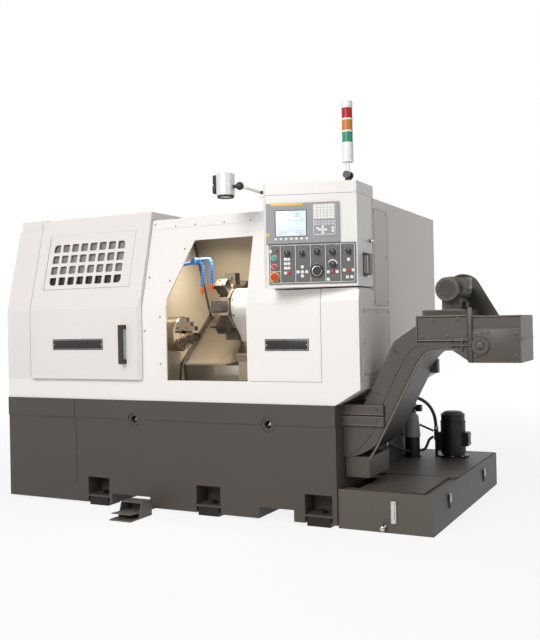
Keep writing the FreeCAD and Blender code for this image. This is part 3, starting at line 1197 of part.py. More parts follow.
def rounded_trough(points, skin, width):
    """A trough outline padded to a width, with both bends of the incline rounded."""
    body = prism("xz", points, width)
    middle = f"-({width}) / 2"
    bend(body, "LowerBend", [(points[1][0], middle, points[1][1])], f"lower_bend - {skin}")
    bend(body, "UpperBend", [(points[2][0], middle, points[2][1])], f"upper_bend + {skin}")
    return body


def conveyor_trough():
    """The folded casing of the conveyor, with its bars, drain box and rear box."""
    outer = trough_outline("0") + [
        ("head_right", "hood_low"), ("head_right", "lid_top"), ("head_left", "lid_top"),
        (climb("lid_start", "incline_thick"), "lid_start"),
        (climb("(base_height - contact_gap)", "incline_thick"), "base_height - contact_gap"),
        ("0", "base_height - contact_gap"), ("0", "well_top"), ("-trough_tail", "well_top")]
    shell = rounded_trough(outer, "0", "conveyor_width")
    put(shell, "right_x", "front_y + conveyor_front + conveyor_width")
    thin = "incline_thick - trough_sheet / sin(conveyor_rise)"
    inner = [(f"{x}" if number else "-trough_tail + trough_sheet", z)
             for number, (x, z) in enumerate(trough_outline("trough_sheet"))]
    inner += [("head_right + trough_sheet", "hood_low"),
              ("head_right + trough_sheet", "lid_top - trough_sheet"),
              ("head_left", "lid_top - trough_sheet"),
              (climb("(lid_start - trough_sheet)", thin), "lid_start - trough_sheet"),
              (climb("(base_height - trough_sheet)", thin), "base_height - trough_sheet"),
              ("trough_sheet", "base_height - trough_sheet"), ("trough_sheet", "well_top + trough_sheet"),
              ("-trough_tail + trough_sheet", "well_top + trough_sheet")]
    hollow = rounded_trough(inner, "trough_sheet", "conveyor_width - 2 * trough_sheet")
    put(hollow, "right_x", "front_y + conveyor_front + conveyor_width - trough_sheet")
    bars = [box("right_x + contact_gap", "front_y + conveyor_front - bar_thick", low,
                "bar_length", "bar_thick", "bar_tall") for low in ("upper_bar", "lower_bar")]
    drain = box("right_x + drain_left", "front_y + conveyor_front + trough_sheet", "drain_low",
                "drain_wide", "conveyor_width - 2 * trough_sheet", "conveyor_low + trough_sheet - drain_low")
    drain_hole = box("right_x + drain_left + trough_sheet", "front_y + conveyor_front + 2 * trough_sheet",
                     "drain_low - trough_sheet", "drain_wide - 2 * trough_sheet",
                     "conveyor_width - 4 * trough_sheet", "conveyor_low - drain_low - trough_sheet")
    rear_box = box("right_x + rear_box_left", "front_y + conveyor_front + conveyor_width",
                   "rear_box_low", "rear_box_wide", "rear_box_deep", "rear_box_tall")
    strips = [box("right_x - trough_tail + strip_inset", f"front_y + conveyor_front + {low}",
                  "conveyor_low + trough_sheet / 2", "trough_tail - 2 * strip_inset", "2 * trough_sheet",
                  "belt_lift - trough_sheet / 2") for low in ("strip_inset", "conveyor_width - strip_inset")]
    return keep(fuse(cut(shell, hollow), *bars, cut(drain, drain_hole), rear_box, *strips),
                "conveyor_trough")


def conveyor_hood():
    """The head box and the hood over the outlet, open below."""
    side = "hood_side"
    low_y = f"front_y + conveyor_front - {side}"
    wide = f"conveyor_width + 2 * {side}"
    head = box("right_x + head_left", low_y, "head_low", "head_right - head_left", wide,
               "head_top - head_low")
    room = box("right_x + head_left", f"{low_y} + {side}", "head_low - trough_sheet",
               "head_right - head_left", "conveyor_width", "lid_top - head_low + trough_sheet")
    upper = box("right_x + head_left + trough_sheet", f"{low_y} + {side}", "lid_top - trough_sheet",
                "head_right - head_left", "conveyor_width", "head_top - lid_top")
    hood = box("right_x + head_right", low_y, "hood_low", "hood_width", wide, "hood_top - hood_low")
    mouth = box("right_x + head_right - trough_sheet", f"{low_y} + {side}", "hood_low - trough_sheet",
                "hood_width", "conveyor_width", "hood_top - hood_low")
    cover = rod("right_x + shaft_x", f"{low_y} - bearing_thick", "shaft_height", "bearing_radius",
                "bearing_thick", "y")
    bore = rod("right_x + shaft_x", f"{low_y} - trough_sheet", "shaft_height",
               "shaft_radius + bearing_fit", "2 * conveyor_width", "y")
    return keep(cut(fuse(cut(head, room, upper), cut(hood, mouth), cover), bore), "conveyor_hood")


def belt_line(skin):
    """The side view of the hinged belt, moved inwards by its thickness where asked."""
    low = f"(conveyor_low + belt_lift + {skin})"
    high = f"(conveyor_low + belt_lift + belt_rise - {skin})"
    right = f"shaft_x + sprocket_radius - {skin}"
    lift = f"belt_lift / sin(conveyor_rise) + {skin} / sin(conveyor_rise)"
    turn = f"(bend_height + belt_lift + {skin})"
    top_shift = f"belt_back - {skin} / sin(conveyor_rise)"
    return [(f"-trough_tail + belt_lift + {skin}", low), (climb(low, lift), low), (climb(turn, lift), turn),
            (f"lip_start + belt_lift / 2", turn), (right, f"shaft_height - belt_dip + 1.5 * {skin}"),
            (right, f"shaft_height + sprocket_radius - {skin}"),
            (climb(f"(belt_crest - {skin})", top_shift), f"belt_crest - {skin}"),
            (climb(high, top_shift), high), (f"-trough_tail + belt_lift + {skin}", high)]


def conveyor_belt():
    """The hinged belt round its whole run, with cleats on the level part."""
    loops = []
    for skin in ("0", "belt_plate"):
        points = belt_line(skin)
        width = "belt_width" if skin == "0" else "2 * belt_width"
        body = prism("xz", points, width)
        middle = f"-({width}) / 2"
        bend(body, "LowerBend", [(points[1][0], middle, points[1][1])], f"lower_bend - belt_lift - {skin}")
        bend(body, "UpperBend", [(points[2][0], middle, points[2][1])], f"upper_bend + belt_lift + {skin}")
        bend(body, "HeadBend", [(points[number][0], middle, points[number][1]) for number in (4, 5)],
             f"0.9 * sprocket_radius - {skin}")
        loops.append(put(body, "right_x", f"front_y + conveyor_front + conveyor_width / 2 + ({width}) / 2"))
    cleats = [box(f"right_x - trough_tail + belt_rise + {number} * cleat_pitch",
                  "front_y + conveyor_front + conveyor_width / 2 - belt_width / 2",
                  "conveyor_low + belt_lift + belt_rise", "belt_plate", "belt_width", "cleat_high")
              for number in range(7)]
    return keep(fuse(cut(loops[0], loops[1]), *cleats), "conveyor_belt")


def conveyor_drive():
    """The platform, the motor on its foot and the chain guard on the far side."""
    platform = box("right_x + platform_left", "front_y + platform_front", "head_top",
                   "platform_wide", "platform_deep", "platform_thick")
    fan = "drive_radius - drive_step"
    groove = f"{fan} - drive_slot"
    body = turned([("0", "0"), ("0", fan), ("fan_length", fan), ("fan_length", groove),
                   ("fan_length + drive_slot", groove), ("fan_length + drive_slot", "drive_radius"),
                   ("drive_length", "drive_radius"),
                   ("drive_length", "gear_radius"), ("guard_start - drive_front", "gear_radius"),
                   ("guard_start - drive_front", "0")])
    body.Placement = FreeCAD.Placement(FreeCAD.Vector(), FreeCAD.Rotation(AXIS_Z, 90))
    put(body, "right_x + drive_x", "front_y + drive_front", "drive_height")
    back = "front_y + drive_front + fan_length + drive_inset"
    foot = box("right_x + drive_x - drive_foot / 2", back, "head_top + platform_thick", "drive_foot",
               "drive_length - fan_length - 2 * drive_inset", "drive_height - head_top - platform_thick")
    terminal = box("right_x + drive_x + drive_box_start", back, "drive_height - drive_box_drop",
                   "drive_box", "drive_box", "drive_box")
    guard = chain_guard("guard_radius", "guard_start", "guard_thick")
    room = chain_guard("guard_radius - trough_sheet", "guard_start - trough_sheet", "guard_thick")
    nose = rod("right_x + drive_x", "front_y + guard_start - trough_sheet", "drive_height",
               "gear_radius / 2", "guard_thick", "y")
    return keep(fuse(platform, body, foot, terminal, cut(guard, room), nose), "conveyor_drive")


def chain_guard(radius, start, deep):
    """The outline round the motor's and the head shaft's axes."""
    ends = [rod(f"right_x + {x}", f"front_y + {start}", z, radius, deep, "y")
            for x, z in (("drive_x", "drive_height"), ("shaft_x", "shaft_height"))]
    across = (f"{radius} * cos(guard_lean)", f"{radius} * sin(guard_lean)")
    corners = [(f"{x} {sign} {across[0]}", f"{z} {sign} {across[1]}")
               for x, z, sign in (("drive_x", "drive_height", "-"), ("drive_x", "drive_height", "+"),
                                  ("shaft_x", "shaft_height", "+"), ("shaft_x", "shaft_height", "-"))]
    web = put(prism("xz", corners, deep), "right_x", f"front_y + {start} + {deep}")
    return fuse(*ends, web)


def conveyor_shaft():
    """The head shaft with its two belt sprockets and the chain wheel."""
    start = "conveyor_front - hood_side - trough_sheet + contact_gap"
    shaft = rod("right_x + shaft_x", f"front_y + {start}", "shaft_height", "shaft_radius",
                f"guard_start + guard_thick - trough_sheet - shaft_end - ({start})", "y")
    wheels = [rod("right_x + shaft_x", f"front_y + {low}", "shaft_height", "wheel_rim", "wheel_wide", "y")
              for low in ("conveyor_front + conveyor_width / 2 - belt_width / 2 + wheel_inset",
                          "conveyor_front + conveyor_width / 2 + belt_width / 2 - wheel_inset - wheel_wide")]
    chain = rod("right_x + shaft_x", "front_y + guard_start + chain_play", "shaft_height", "chain_wheel",
                "chain_wide", "y")
    return keep(fuse(shaft, *wheels, chain), "conveyor_shaft")


# ---------------------------------------------------------------- coolant system
def coolant_tank():
    """The tank with its deck, rim, gauge, drain valve and latches."""
    shell = box("right_x + tank_gap", "front_y + tank_front", "0", "tank_length", "tank_depth", "tank_height")
    inside = box("right_x + tank_gap + tank_wall", "front_y + tank_front + tank_wall", "tank_wall",
                 "tank_length - 2 * tank_wall", "tank_depth - 2 * tank_wall",
                 "tank_height - lid_lip - 2 * tank_wall")
    rim = box("right_x + tank_gap + tank_wall", "front_y + tank_front + tank_wall",
              "tank_height - lid_lip", "tank_length - 2 * tank_wall", "tank_depth - 2 * tank_wall",
              "2 * lid_lip")
    inlet = box("right_x + inlet_left", "front_y + conveyor_front + 2 * tank_wall",
                "tank_height - lid_lip - 3 * tank_wall", "inlet_wide", "conveyor_width - 4 * tank_wall",
                "lid_lip + 2 * tank_wall")
    hatch = box("right_x + front_lid_left + hatch_rim", "front_y + front_lid_y + hatch_rim",
                "tank_height - lid_lip - 3 * tank_wall", "front_lid_wide - 2 * hatch_rim",
                "front_lid_deep - 2 * hatch_rim", "lid_lip + 2 * tank_wall")
    gauge = box("right_x + gauge_left", "front_y + tank_front - gauge_thick", "gauge_low",
                "gauge_wide", "gauge_thick", "gauge_tall")
    valve = rod("right_x + valve_left", "front_y + tank_front - valve_long", "valve_height",
                "valve_radius", "valve_long", "y")
    lever = box("right_x + valve_left - lever_wide / 2", "front_y + tank_front - valve_long",
                "valve_height", "lever_wide", "lever_wide", "3 * valve_radius")
    latches = [box("right_x + tank_gap + tank_length", f"front_y + {y}", "latch_low", "latch_thick",
                   "latch_wide", "latch_tall") for y in ("front_latch", "rear_latch")]
    return keep(fuse(cut(shell, inside, rim, inlet, hatch), gauge, valve, lever, *latches), "coolant_tank")


def tank_lid():
    """The front hatch lid and the rear deck plate that carries the pump and the filter."""
    front = box("right_x + front_lid_left", "front_y + front_lid_y", "tank_height - lid_lip",
                "front_lid_wide", "front_lid_deep", "lid_thick")
    rear = box("right_x + tank_gap + 2 * tank_wall", "front_y + rear_lid_y", "tank_height - lid_lip",
               "tank_length - 4 * tank_wall", "rear_lid_deep", "lid_thick")
    return keep(group(front, rear), "tank_lid")


def coolant_pump():
    """The pump on its flange: motor, terminal box, outlet box and the tee on its riser."""
    deck = "(tank_height - lid_lip + lid_thick)"
    shoulder = "pump_high - pump_cap"
    waist = "pump_radius - pump_waist"
    cap = "pump_radius - pump_step"
    body = turned([("0", "0"), ("0", "pump_radius + pump_flange"),
                   ("pump_plate", "pump_radius + pump_flange"), ("pump_plate", waist),
                   ("pump_waist_top", waist), ("pump_waist_top", "pump_radius"),
                   (shoulder, "pump_radius"), (shoulder, cap), ("pump_high - pump_dome", cap),
                   ("pump_high", f"{waist} - pump_dome"), ("pump_high", "0")], "z")
    put(body, "right_x + pump_x", "front_y + pump_y", deck)
    terminal = box("right_x + pump_x", "front_y + pump_y - terminal_wide / 2", f"{deck} + terminal_low",
                   "pump_radius + terminal_out", "terminal_wide", "terminal_tall")
    outlet = box("right_x + outlet_left", "front_y + tee_y - outlet_wide / 2", "outlet_low",
                 "pump_x - outlet_left", "outlet_wide", "outlet_tall")
    arm = rod("right_x + tee_x", "front_y + tee_y", "tee_arm", "riser_radius", "pump_x - tee_x", "x")
    riser = rod("right_x + tee_x", "front_y + tee_y", f"{deck} + contact_gap", "riser_radius",
                f"tee_low - {deck}")
    tee = rod("right_x + tee_x", "front_y + tee_y", "tee_low", "tee_radius", "tee_top - tee_low")
    return keep(fuse(body, terminal, outlet, arm, riser, tee), "coolant_pump")


def coolant_filter():
    """The upright filter: a foot, a tapered bowl and a neck with a side knob."""
    deck = "tank_height - lid_lip + lid_thick"
    body = turned([("0", "0"), ("0", "filter_radius + filter_flange"),
                   ("filter_plate", "filter_radius + filter_flange"), ("filter_plate", "filter_radius"),
                   ("filter_foot", "filter_radius"), ("filter_foot", "filter_radius + filter_step"),
                   ("filter_bowl", "filter_radius - filter_taper"),
                   ("filter_bowl + filter_step", "filter_neck"), ("filter_high", "filter_neck"),
                   ("filter_high", "0")], "z")
    put(body, "right_x + filter_x", "front_y + filter_y", deck)
    stem = rod("right_x + filter_x", "front_y + filter_y", f"{deck} + filter_port", "filter_stem",
               "filter_reach", "x")
    knob = rod("right_x + filter_x + filter_reach", "front_y + filter_y", f"{deck} + filter_port",
               "filter_knob", "filter_reach", "x")
    return keep(fuse(body, stem, knob), "coolant_filter")


def pipe(points, radius, bends=None):
    """A tube of straight runs and tangent arcs; a hose's arcs are as wide as its runs allow."""
    radius = val(radius)
    spots = [FreeCAD.Vector(val("right_x") + x, val("front_y") + y, z) for x, y, z in points]
    pieces = []
    turns = []
    start = spots[0]
    for before, corner, after in zip(spots, spots[1:], spots[2:]):
        arrive = (corner - before).normalize()
        leave = (after - corner).normalize()
        half = arrive.getAngle(leave) / 2
        shorter = min(corner.distanceToPoint(before), corner.distanceToPoint(after))
        bend_radius = val(bends) if bends else val("arc_share") * shorter / math.tan(half)
        reach = bend_radius * math.tan(half)
        first = corner - arrive * reach
        last = corner + leave * reach
        middle_way = (leave - arrive).normalize()
        middle = corner + middle_way * (bend_radius / math.cos(half) - bend_radius)
        pieces.append(Part.LineSegment(start, first).toShape())
        pieces.append(Part.Arc(first, middle, last).toShape())
        turns.append(round(bend_radius))
        start = last
    pieces.append(Part.LineSegment(start, spots[-1]).toShape())
    path = Part.Wire(pieces)
    ring = Part.Wire(Part.Circle(spots[0], spots[1] - spots[0], radius).toShape())
    tube = doc.addObject("Part::Feature", "Tube")
    tube.Shape = path.makePipeShell([ring], True, True)
    share = tube.Shape.Volume / (math.pi * radius * radius) / path.Length
    print("tube", round(path.Length), "mm, radii", turns, "volume against section", round(share, 4))
    return tube


# Routes of the tubes: distance from the base's right end, distance behind its front, height.
FAR_BRANCH = [(-1240, 250, 1505), (-1100, 250, 1522), (-985, 250, 1530), (-981, 250, 1440),
              (-992, 250, 1362)]
NEAR_BRANCH = [(-1040, 250, 1541), (-926, 250, 1543), (-916, 250, 1445), (-921, 250, 1378)]
RETURN_HOSE = [(0.3, 1200, 622), (62, 1200, 621), (118, 1210, 607), (163, 1228, 572),
               (191, 1246, 520), (203, 1258, 462), (205, 1262, 403.2)]
ELBOW = [(108.5, 1214.3, 262), (140, 1230, 268), (165, 1250, 345), (187.8, 1256.8, 352)]
LINK_PIPE = [(104.1, 1219.4, 433), (188.2, 1254.9, 390)]
SUCTION_LINE = [(0.3, 830, 345), (52, 830, 343), (54, 1040, 279), (54, 1148, 262)]


def coolant_hose():
    """The jointed coolant hose at the chuck: a wall block, a fork, two branches and their nozzles."""
    start = FAR_BRANCH[0]
    pieces = [box("wall_x", f"front_y + {start[1]} - wall_block / 2", f"{start[2]} - wall_block / 2",
                  "wall_block_long", "wall_block", "wall_block")]
    split, level, _ = NEAR_BRANCH[0]
    pieces.append(box(f"right_x + ({split}) - fork_block / 2", f"front_y + {level} - fork_block / 2",
                      "fork_block_low", "fork_block", "fork_block", "fork_block_tall"))
    for route in (FAR_BRANCH, NEAR_BRANCH):
        x, y, tip = route[-1]
        pieces.append(pipe(route, "hose_radius", "hose_bend"))
        cone = turned([("0", "0"), ("0", "nozzle_tip"), ("nozzle_long", "nozzle_wide"),
                       ("nozzle_long", "0")], "z")
        pieces.append(put(cone, f"right_x + ({x})", f"front_y + {y}",
                          f"{tip} + nozzle_grip - nozzle_long"))
    return keep(fuse(*pieces), "coolant_hose")


def coolant_lines():
    """The black hose, the elbow and the pipes between the base, the filter and the pump's tee."""
    lines = [pipe(LINK_PIPE, "link_radius", "elbow_bend"), pipe(ELBOW, "elbow_radius", "elbow_bend")]
    for route, radius, bends in ((RETURN_HOSE, "return_radius", None),
                                 (SUCTION_LINE, "suction_radius", "suction_bend")):
        x, y, z = route[0]
        gland = rod(f"right_x + {x}", f"front_y + {y}", z, "gland_radius", "gland_long", "x")
        lines.append(fuse(gland, pipe(route, radius, bends)))
    return keep(group(*lines), "coolant_lines")


# ---------------------------------------------------------------- foot switch
def pedal_guard():
    """The foot switch's base and hood, with its lead to the machine."""
    low_x = "right_x - pedal_x - pedal_width / 2"
    low_y = "front_y - pedal_front"
    base = box(low_x, low_y, "0", "pedal_width", "pedal_depth", "pedal_base")
    cheek = [("pedal_open", "pedal_base"), ("pedal_open + pedal_slope", "pedal_high"),
             ("pedal_depth", "pedal_high"), ("pedal_depth", "pedal_base")]
    cheeks = [put(prism("yz", cheek, "pedal_sheet"), x, low_y)
              for x in (low_x, f"{low_x} + pedal_width - pedal_sheet")]
    hood = box(low_x, f"{low_y} + pedal_open + pedal_slope", "pedal_high - pedal_sheet", "pedal_width",
               "pedal_depth - pedal_open - pedal_slope", "pedal_sheet")
    back = box(low_x, f"{low_y} + pedal_depth - pedal_sheet", "pedal_base", "pedal_width",
               "pedal_sheet", "pedal_high - pedal_base")
    pin = rod(low_x, f"{low_y} + tread_back", "tread_axis", "tread_pin", "pedal_width", "x")
    lead = rod("right_x - pedal_x", f"{low_y} + pedal_depth - pedal_sheet", "lead_radius + lead_lift",
               "lead_radius", "pedal_front - pedal_depth + pedal_sheet + sill_depth", "y")
    gland = rod("right_x - pedal_x", "front_y + sill_depth - lead_radius", "lead_radius", "lead_radius",
                "base_clearance - lead_radius")
    return keep(fuse(base, *cheeks, hood, back, pin, lead, gland), "pedal_guard")


def foot_pedal():
    """The tread on its pin."""
    low_x = "right_x - pedal_x - pedal_width / 2 + pedal_sheet + tread_play"
    low_y = "front_y - pedal_front"
    tread = put(prism("yz", [("tread_front", "tread_rise"), ("tread_front", "tread_rise + pedal_sheet"),
                             ("tread_back", "tread_axis + tread_pin + pedal_sheet"),
                             ("tread_back", "tread_axis + tread_pin")],
                      "pedal_width - 2 * pedal_sheet - 2 * tread_play"), low_x, low_y)
    boss = rod(low_x, f"{low_y} + tread_back", "tread_axis", "tread_pin + pedal_sheet",
               "pedal_width - 2 * pedal_sheet - 2 * tread_play", "x")
    bore = rod("right_x - pedal_x - pedal_width", f"{low_y} + tread_back", "tread_axis",
               "tread_pin + pivot_fit", "2 * pedal_width", "x")
    return keep(cut(fuse(tread, boss), bore), "foot_pedal")


# ---------------------------------------------------------------- electrical cabinet
def electrical_cabinet():
    """The cabinet set into the back, with a mounting plate and rows of switchgear."""
    low_x = "right_x - cabinet_left"
    low_y = "back_y + rear_reach - cabinet_door - contact_gap - cabinet_depth"
    case = box(low_x, low_y, "cabinet_low", "cabinet_width", "cabinet_depth", "cabinet_tall")
    inside = box(f"{low_x} + cabinet_skin", f"{low_y} + cabinet_skin", "cabinet_low + cabinet_skin",
                 "cabinet_width - 2 * cabinet_skin", "cabinet_depth", "cabinet_tall - 2 * cabinet_skin")
    rows = [box(f"{low_x} + gear_margin", f"{low_y} + cabinet_skin", f"cabinet_low + {level} * gear_pitch",
                "cabinet_width - 2 * gear_margin", "gear_depth", "gear_tall") for level in (1, 2, 3)]
    return keep(fuse(cut(case, inside), *rows), "electrical_cabinet")


def cabinet_door():
    """The cabinet's hinged door with the main switch."""
    low_x = "right_x - cabinet_left"
    low_y = "back_y + rear_reach - cabinet_door"
    leaf = box(low_x, low_y, "cabinet_low", "cabinet_width", "cabinet_door - switch_out", "cabinet_tall")
    switch = rod(f"{low_x} + cabinet_width - switch_edge", f"{low_y} + cabinet_door - switch_out",
                 "cabinet_low + cabinet_tall / 2", "switch_radius", "switch_out", "y")
    grip = box(f"{low_x} + cabinet_width - switch_edge - leaf_grip / 2",
               f"{low_y} + cabinet_door - switch_out", "cabinet_low + cabinet_tall / 4",
               "leaf_grip", "switch_out", "cabinet_tall / 10")
    return keep(fuse(leaf, switch, grip), "cabinet_door")


for build in (base_frame, levelling_feet, access_plates, front_apron, left_end_cover, headstock_cover,
              header_panel, right_front_cover, right_wall, rear_housing, headstock_wall, back_wall,
              slant_bed, way_covers, saddle, cross_slide, turret_housing, turret_disc, tool_holders,
              headstock, spindle, chuck_body, chuck_jaws, spindle_motor, drive_belt, tailstock, quill,
              door, door_handle, control_cap, control_box, display_unit, switch_panel, handwheel,
              beacon_mast, beacon_lenses, lamp_arm, lamp_head, conveyor_trough, conveyor_hood,
              conveyor_belt, conveyor_drive, conveyor_shaft, coolant_tank, tank_lid, coolant_pump,
              coolant_filter, coolant_hose, coolant_lines, pedal_guard, foot_pedal,
              electrical_cabinet, cabinet_door):
    build()
push_button("stop_button", "stop_t", "stop_up", "stop_radius", "stop_length")
push_button("start_button", "button_t", "start_up", "button_radius", "button_length")
push_button("hold_button", "button_t", "hold_up", "button_radius", "button_length")
turn_knob("mode_selector", "mode_t", "mode_up", "knob_radius", "knob_length")
turn_knob("power_selector", "power_t", "power_up", "knob_radius", "knob_length")

doc.recompute()
for item in doc.Objects:
    if "Invalid" in item.State or "Error" in item.State:
        raise RuntimeError(f"{item.Label} does not compute")
for item in PARTS:
    if item.Shape.isNull() or not item.Shape.isValid() or not item.Shape.Solids:
        raise RuntimeError(f"{item.Label} has no sound solid")
for item in PARTS:
    item.Shape.exportStep(f"parts/{item.Label}.step")
    extent = item.Shape.BoundBox
    print(item.Label, round(extent.XLength, 1), round(extent.YLength, 1), round(extent.ZLength, 1))
print(len(PARTS), "sub-parts")
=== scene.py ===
# %% [markdown]
# # A slant-bed turning lathe with its chip conveyor
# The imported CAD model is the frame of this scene. Its nodes already stand in their places,
# in metres. This lesson sets the camera and the light, gives every surface its finish, and
# adds the small things that such a machine carries: screws, keys, lenses, fins and guards.

# %% Load the frame
import math
import bmesh
import bpy
from mathutils import Matrix, Vector
from mathutils.bvhtree import BVHTree


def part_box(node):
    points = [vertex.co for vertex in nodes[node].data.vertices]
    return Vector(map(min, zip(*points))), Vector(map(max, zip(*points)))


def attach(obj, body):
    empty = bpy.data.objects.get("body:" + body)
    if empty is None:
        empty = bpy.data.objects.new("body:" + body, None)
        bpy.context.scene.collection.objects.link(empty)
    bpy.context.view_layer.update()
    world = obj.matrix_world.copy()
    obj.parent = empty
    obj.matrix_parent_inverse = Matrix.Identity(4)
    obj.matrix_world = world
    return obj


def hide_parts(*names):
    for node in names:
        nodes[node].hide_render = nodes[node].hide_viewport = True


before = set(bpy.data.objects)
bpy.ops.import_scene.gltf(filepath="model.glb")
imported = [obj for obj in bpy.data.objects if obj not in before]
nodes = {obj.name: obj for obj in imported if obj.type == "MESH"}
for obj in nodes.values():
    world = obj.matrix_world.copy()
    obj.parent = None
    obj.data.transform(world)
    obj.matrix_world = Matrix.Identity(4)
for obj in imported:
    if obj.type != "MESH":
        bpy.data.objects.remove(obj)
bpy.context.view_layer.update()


def new_object(name, data):
    """Put an object with its data into the scene."""
    thing = bpy.data.objects.new(name, data)
    bpy.context.scene.collection.objects.link(thing)
    return thing


# %% [markdown]
# ## Camera
# The photograph was taken from the operator's side, near the conveyor end, at chest height.
# A camera can be aimed with a constraint, but the exact view is easier to state as three
# turns: yaw about the vertical, pitch about the camera's side axis, and roll.

# %% Camera
CAMERA_SPOT = (2.4683, -4.8656, 1.1278)
YAW, PITCH, ROLL = 26.94, 0.289, -1.1635
LENS, SENSOR = 47.0, 36.0

lens = bpy.data.cameras.new("camera")
lens.lens = LENS
lens.sensor_width = SENSOR
camera = new_object("camera", lens)
camera.matrix_world = (
    Matrix.Translation(CAMERA_SPOT)
    @ Matrix.Rotation(math.radians(YAW), 4, "Z")
    @ Matrix.Rotation(math.radians(90 + PITCH), 4, "X")
    @ Matrix.Rotation(math.radians(ROLL), 4, "Z")
)
bpy.context.scene.camera = camera
bpy.context.scene.view_settings.view_transform = "Standard"
print("the lens is", LENS, "mm on a", SENSOR, "mm sensor")

# %% [markdown]
# ## Millimetres from the corner of the base
# Drawings of a machine give millimetres, so every small piece here is placed in millimetres
# from the base's front right corner. One matrix turns them into the model's metres. Others
# carry the frames of single faces, such as the slanted face of the control box.

# %% Frames
MM = 0.001
CORNER = (0.701, -0.6235, 0)
FACE_CORNER = (-318.8, -159, 1327)
FACE_ANGLE = 18.9


def at(x, y, z):
    """A plain shift, which is also the frame of a face that looks up."""
    return Matrix.Translation((x, y, z))


def turned(degrees, axis="Z"):
    """A turn about an axis of the frame."""
    return Matrix.Rotation(math.radians(degrees), 4, axis)


def towards(way):
    """The turn that brings z to a direction."""
    return way.to_track_quat("Z", "Y").to_matrix().to_4x4()


row = at(*CORNER) @ Matrix.Scale(MM, 4)
upright, lying = turned(90, "X"), turned(90, "Y")
face = at(*FACE_CORNER) @ turned(FACE_ANGLE) @ upright


def front(x, y, z):
    """The frame of a face that looks at the operator: x right, y up, z outwards."""
    return at(x, y, z) @ upright


def side(x, y, z):
    """The frame of a face that looks at the conveyor end."""
    return at(x, y, z) @ turned(90) @ upright


def on_face(across, up, out=0):
    """A spot on the control box's slanted face."""
    return face @ at(across, up, out)


print("the face's corner stands at", [round(value, 3) for value in row @ Vector(FACE_CORNER)])

# %% [markdown]
# ## Nodes of a material
# A material is a small graph of nodes. One helper adds a node with its values, another
# links a list of sockets, and a third shows a surface as white to the lens and to mirrors.

# %% Node helpers
def add_node(tree, kind, values=None, **settings):
    """Add a shader node, set its properties and then the values of its inputs."""
    node = tree.nodes.new("ShaderNode" + kind)
    for name, setting in settings.items():
        setattr(node, name, setting)
    for socket, value in (values or {}).items():
        node.inputs[socket].default_value = value
    return node


def wire(tree, *links):
    """Link an output of one node to an input of another, one link a row."""
    for giver, output, taker, socket in links:
        tree.links.new(giver.outputs[output], taker.inputs[socket])


def white_for_the_lens(tree, lit, lit_output, share):
    """Mix a surface with plain white by a share, for camera, glossy and transmission rays."""
    path = add_node(tree, "LightPath")
    seen = add_node(tree, "Math", operation="MAXIMUM")
    clear = add_node(tree, "Math", operation="MAXIMUM")
    part = add_node(tree, "Math", operation="MULTIPLY")
    mix = add_node(tree, "MixShader")
    kind = "Background" if tree == bpy.context.scene.world.node_tree else "Emission"
    white = add_node(tree, kind, {"Color": (1, 1, 1, 1), "Strength": 1})
    if isinstance(share, float):
        part.inputs[1].default_value = share
    else:
        wire(tree, (*share, part, 1))
    wire(tree, (path, "Is Camera Ray", seen, 0), (path, "Is Glossy Ray", seen, 1),
         (seen, 0, clear, 0), (path, "Is Transmission Ray", clear, 1), (clear, 0, part, 0),
         (part, 0, mix, "Fac"), (lit, 0, mix, 1), (white, 0, mix, 2), (mix, 0, lit_output, "Surface"))


bpy.context.scene.world = bpy.data.worlds.new("studio")
bpy.context.scene.world.use_nodes = True
print("the sky starts with", len(bpy.context.scene.world.node_tree.nodes), "nodes")

# %% [markdown]
# ## Floor and light
# A soft studio is one large lamp in front on the left, a weak one at each side, a small warm
# one in the work area and a soft sky, so that the front is lit about twice as much as the
# right side. The floor is pale, keeps a soft shadow, and is lifted towards white where the
# lens or a mirror sees it, the more the farther it lies, so that no horizon shows and the
# machine gets no more light.

# %% Floor
FLOOR_SIZE = 60
FLOOR_LIFT = 0.86
LIFT_START, LIFT_END = 2.4, 6.5

floor_paint = bpy.data.materials.new("floor_paint")
floor_paint.use_nodes = True
floor_tree = floor_paint.node_tree
shader = floor_tree.nodes["Principled BSDF"]
shader.inputs["Base Color"].default_value = (0.86, 0.86, 0.85, 1)
shader.inputs["Roughness"].default_value = 0.9
shader.inputs["Specular IOR Level"].default_value = 0.1
floor_place = add_node(floor_tree, "TexCoord")
far_away = add_node(floor_tree, "VectorMath", operation="LENGTH")
lift = add_node(floor_tree, "MapRange",
                {"From Min": LIFT_START, "From Max": LIFT_END, "To Min": FLOOR_LIFT})
wire(floor_tree, (floor_place, "Object", far_away, 0), (far_away, "Value", lift, "Value"))
white_for_the_lens(floor_tree, shader, floor_tree.nodes["Material Output"], (lift, "Result"))

floor_shape = bmesh.new()
bmesh.ops.create_grid(floor_shape, x_segments=1, y_segments=1, size=FLOOR_SIZE / 2)
floor_mesh = bpy.data.meshes.new("floor")
floor_shape.to_mesh(floor_mesh)
floor_shape.free()
floor_mesh.materials.append(floor_paint)
new_object("floor", floor_mesh)
print("the floor is", FLOOR_SIZE, "m wide")

# %% Sky and lamps
SKY_STRENGTH = 0.34

sky = bpy.context.scene.world.node_tree
background = sky.nodes["Background"]
background.inputs["Color"].default_value = (0.98, 0.99, 1, 1)
background.inputs["Strength"].default_value = SKY_STRENGTH
white_for_the_lens(sky, background, sky.nodes["World Output"], 1.0)


def softbox(name, spot, aim, size, watts, tint=(1, 1, 1)):
    """Hang a square area lamp at a spot and turn it towards another."""
    light = bpy.data.lights.new(name, "AREA")
    light.shape = "SQUARE"
    light.size = size
    light.energy = watts
    light.color = tint
    lamp = new_object(name, light)
    lamp.location = spot
    lamp.rotation_euler = (Vector(aim) - Vector(spot)).to_track_quat("-Z", "Y").to_euler()
    return lamp


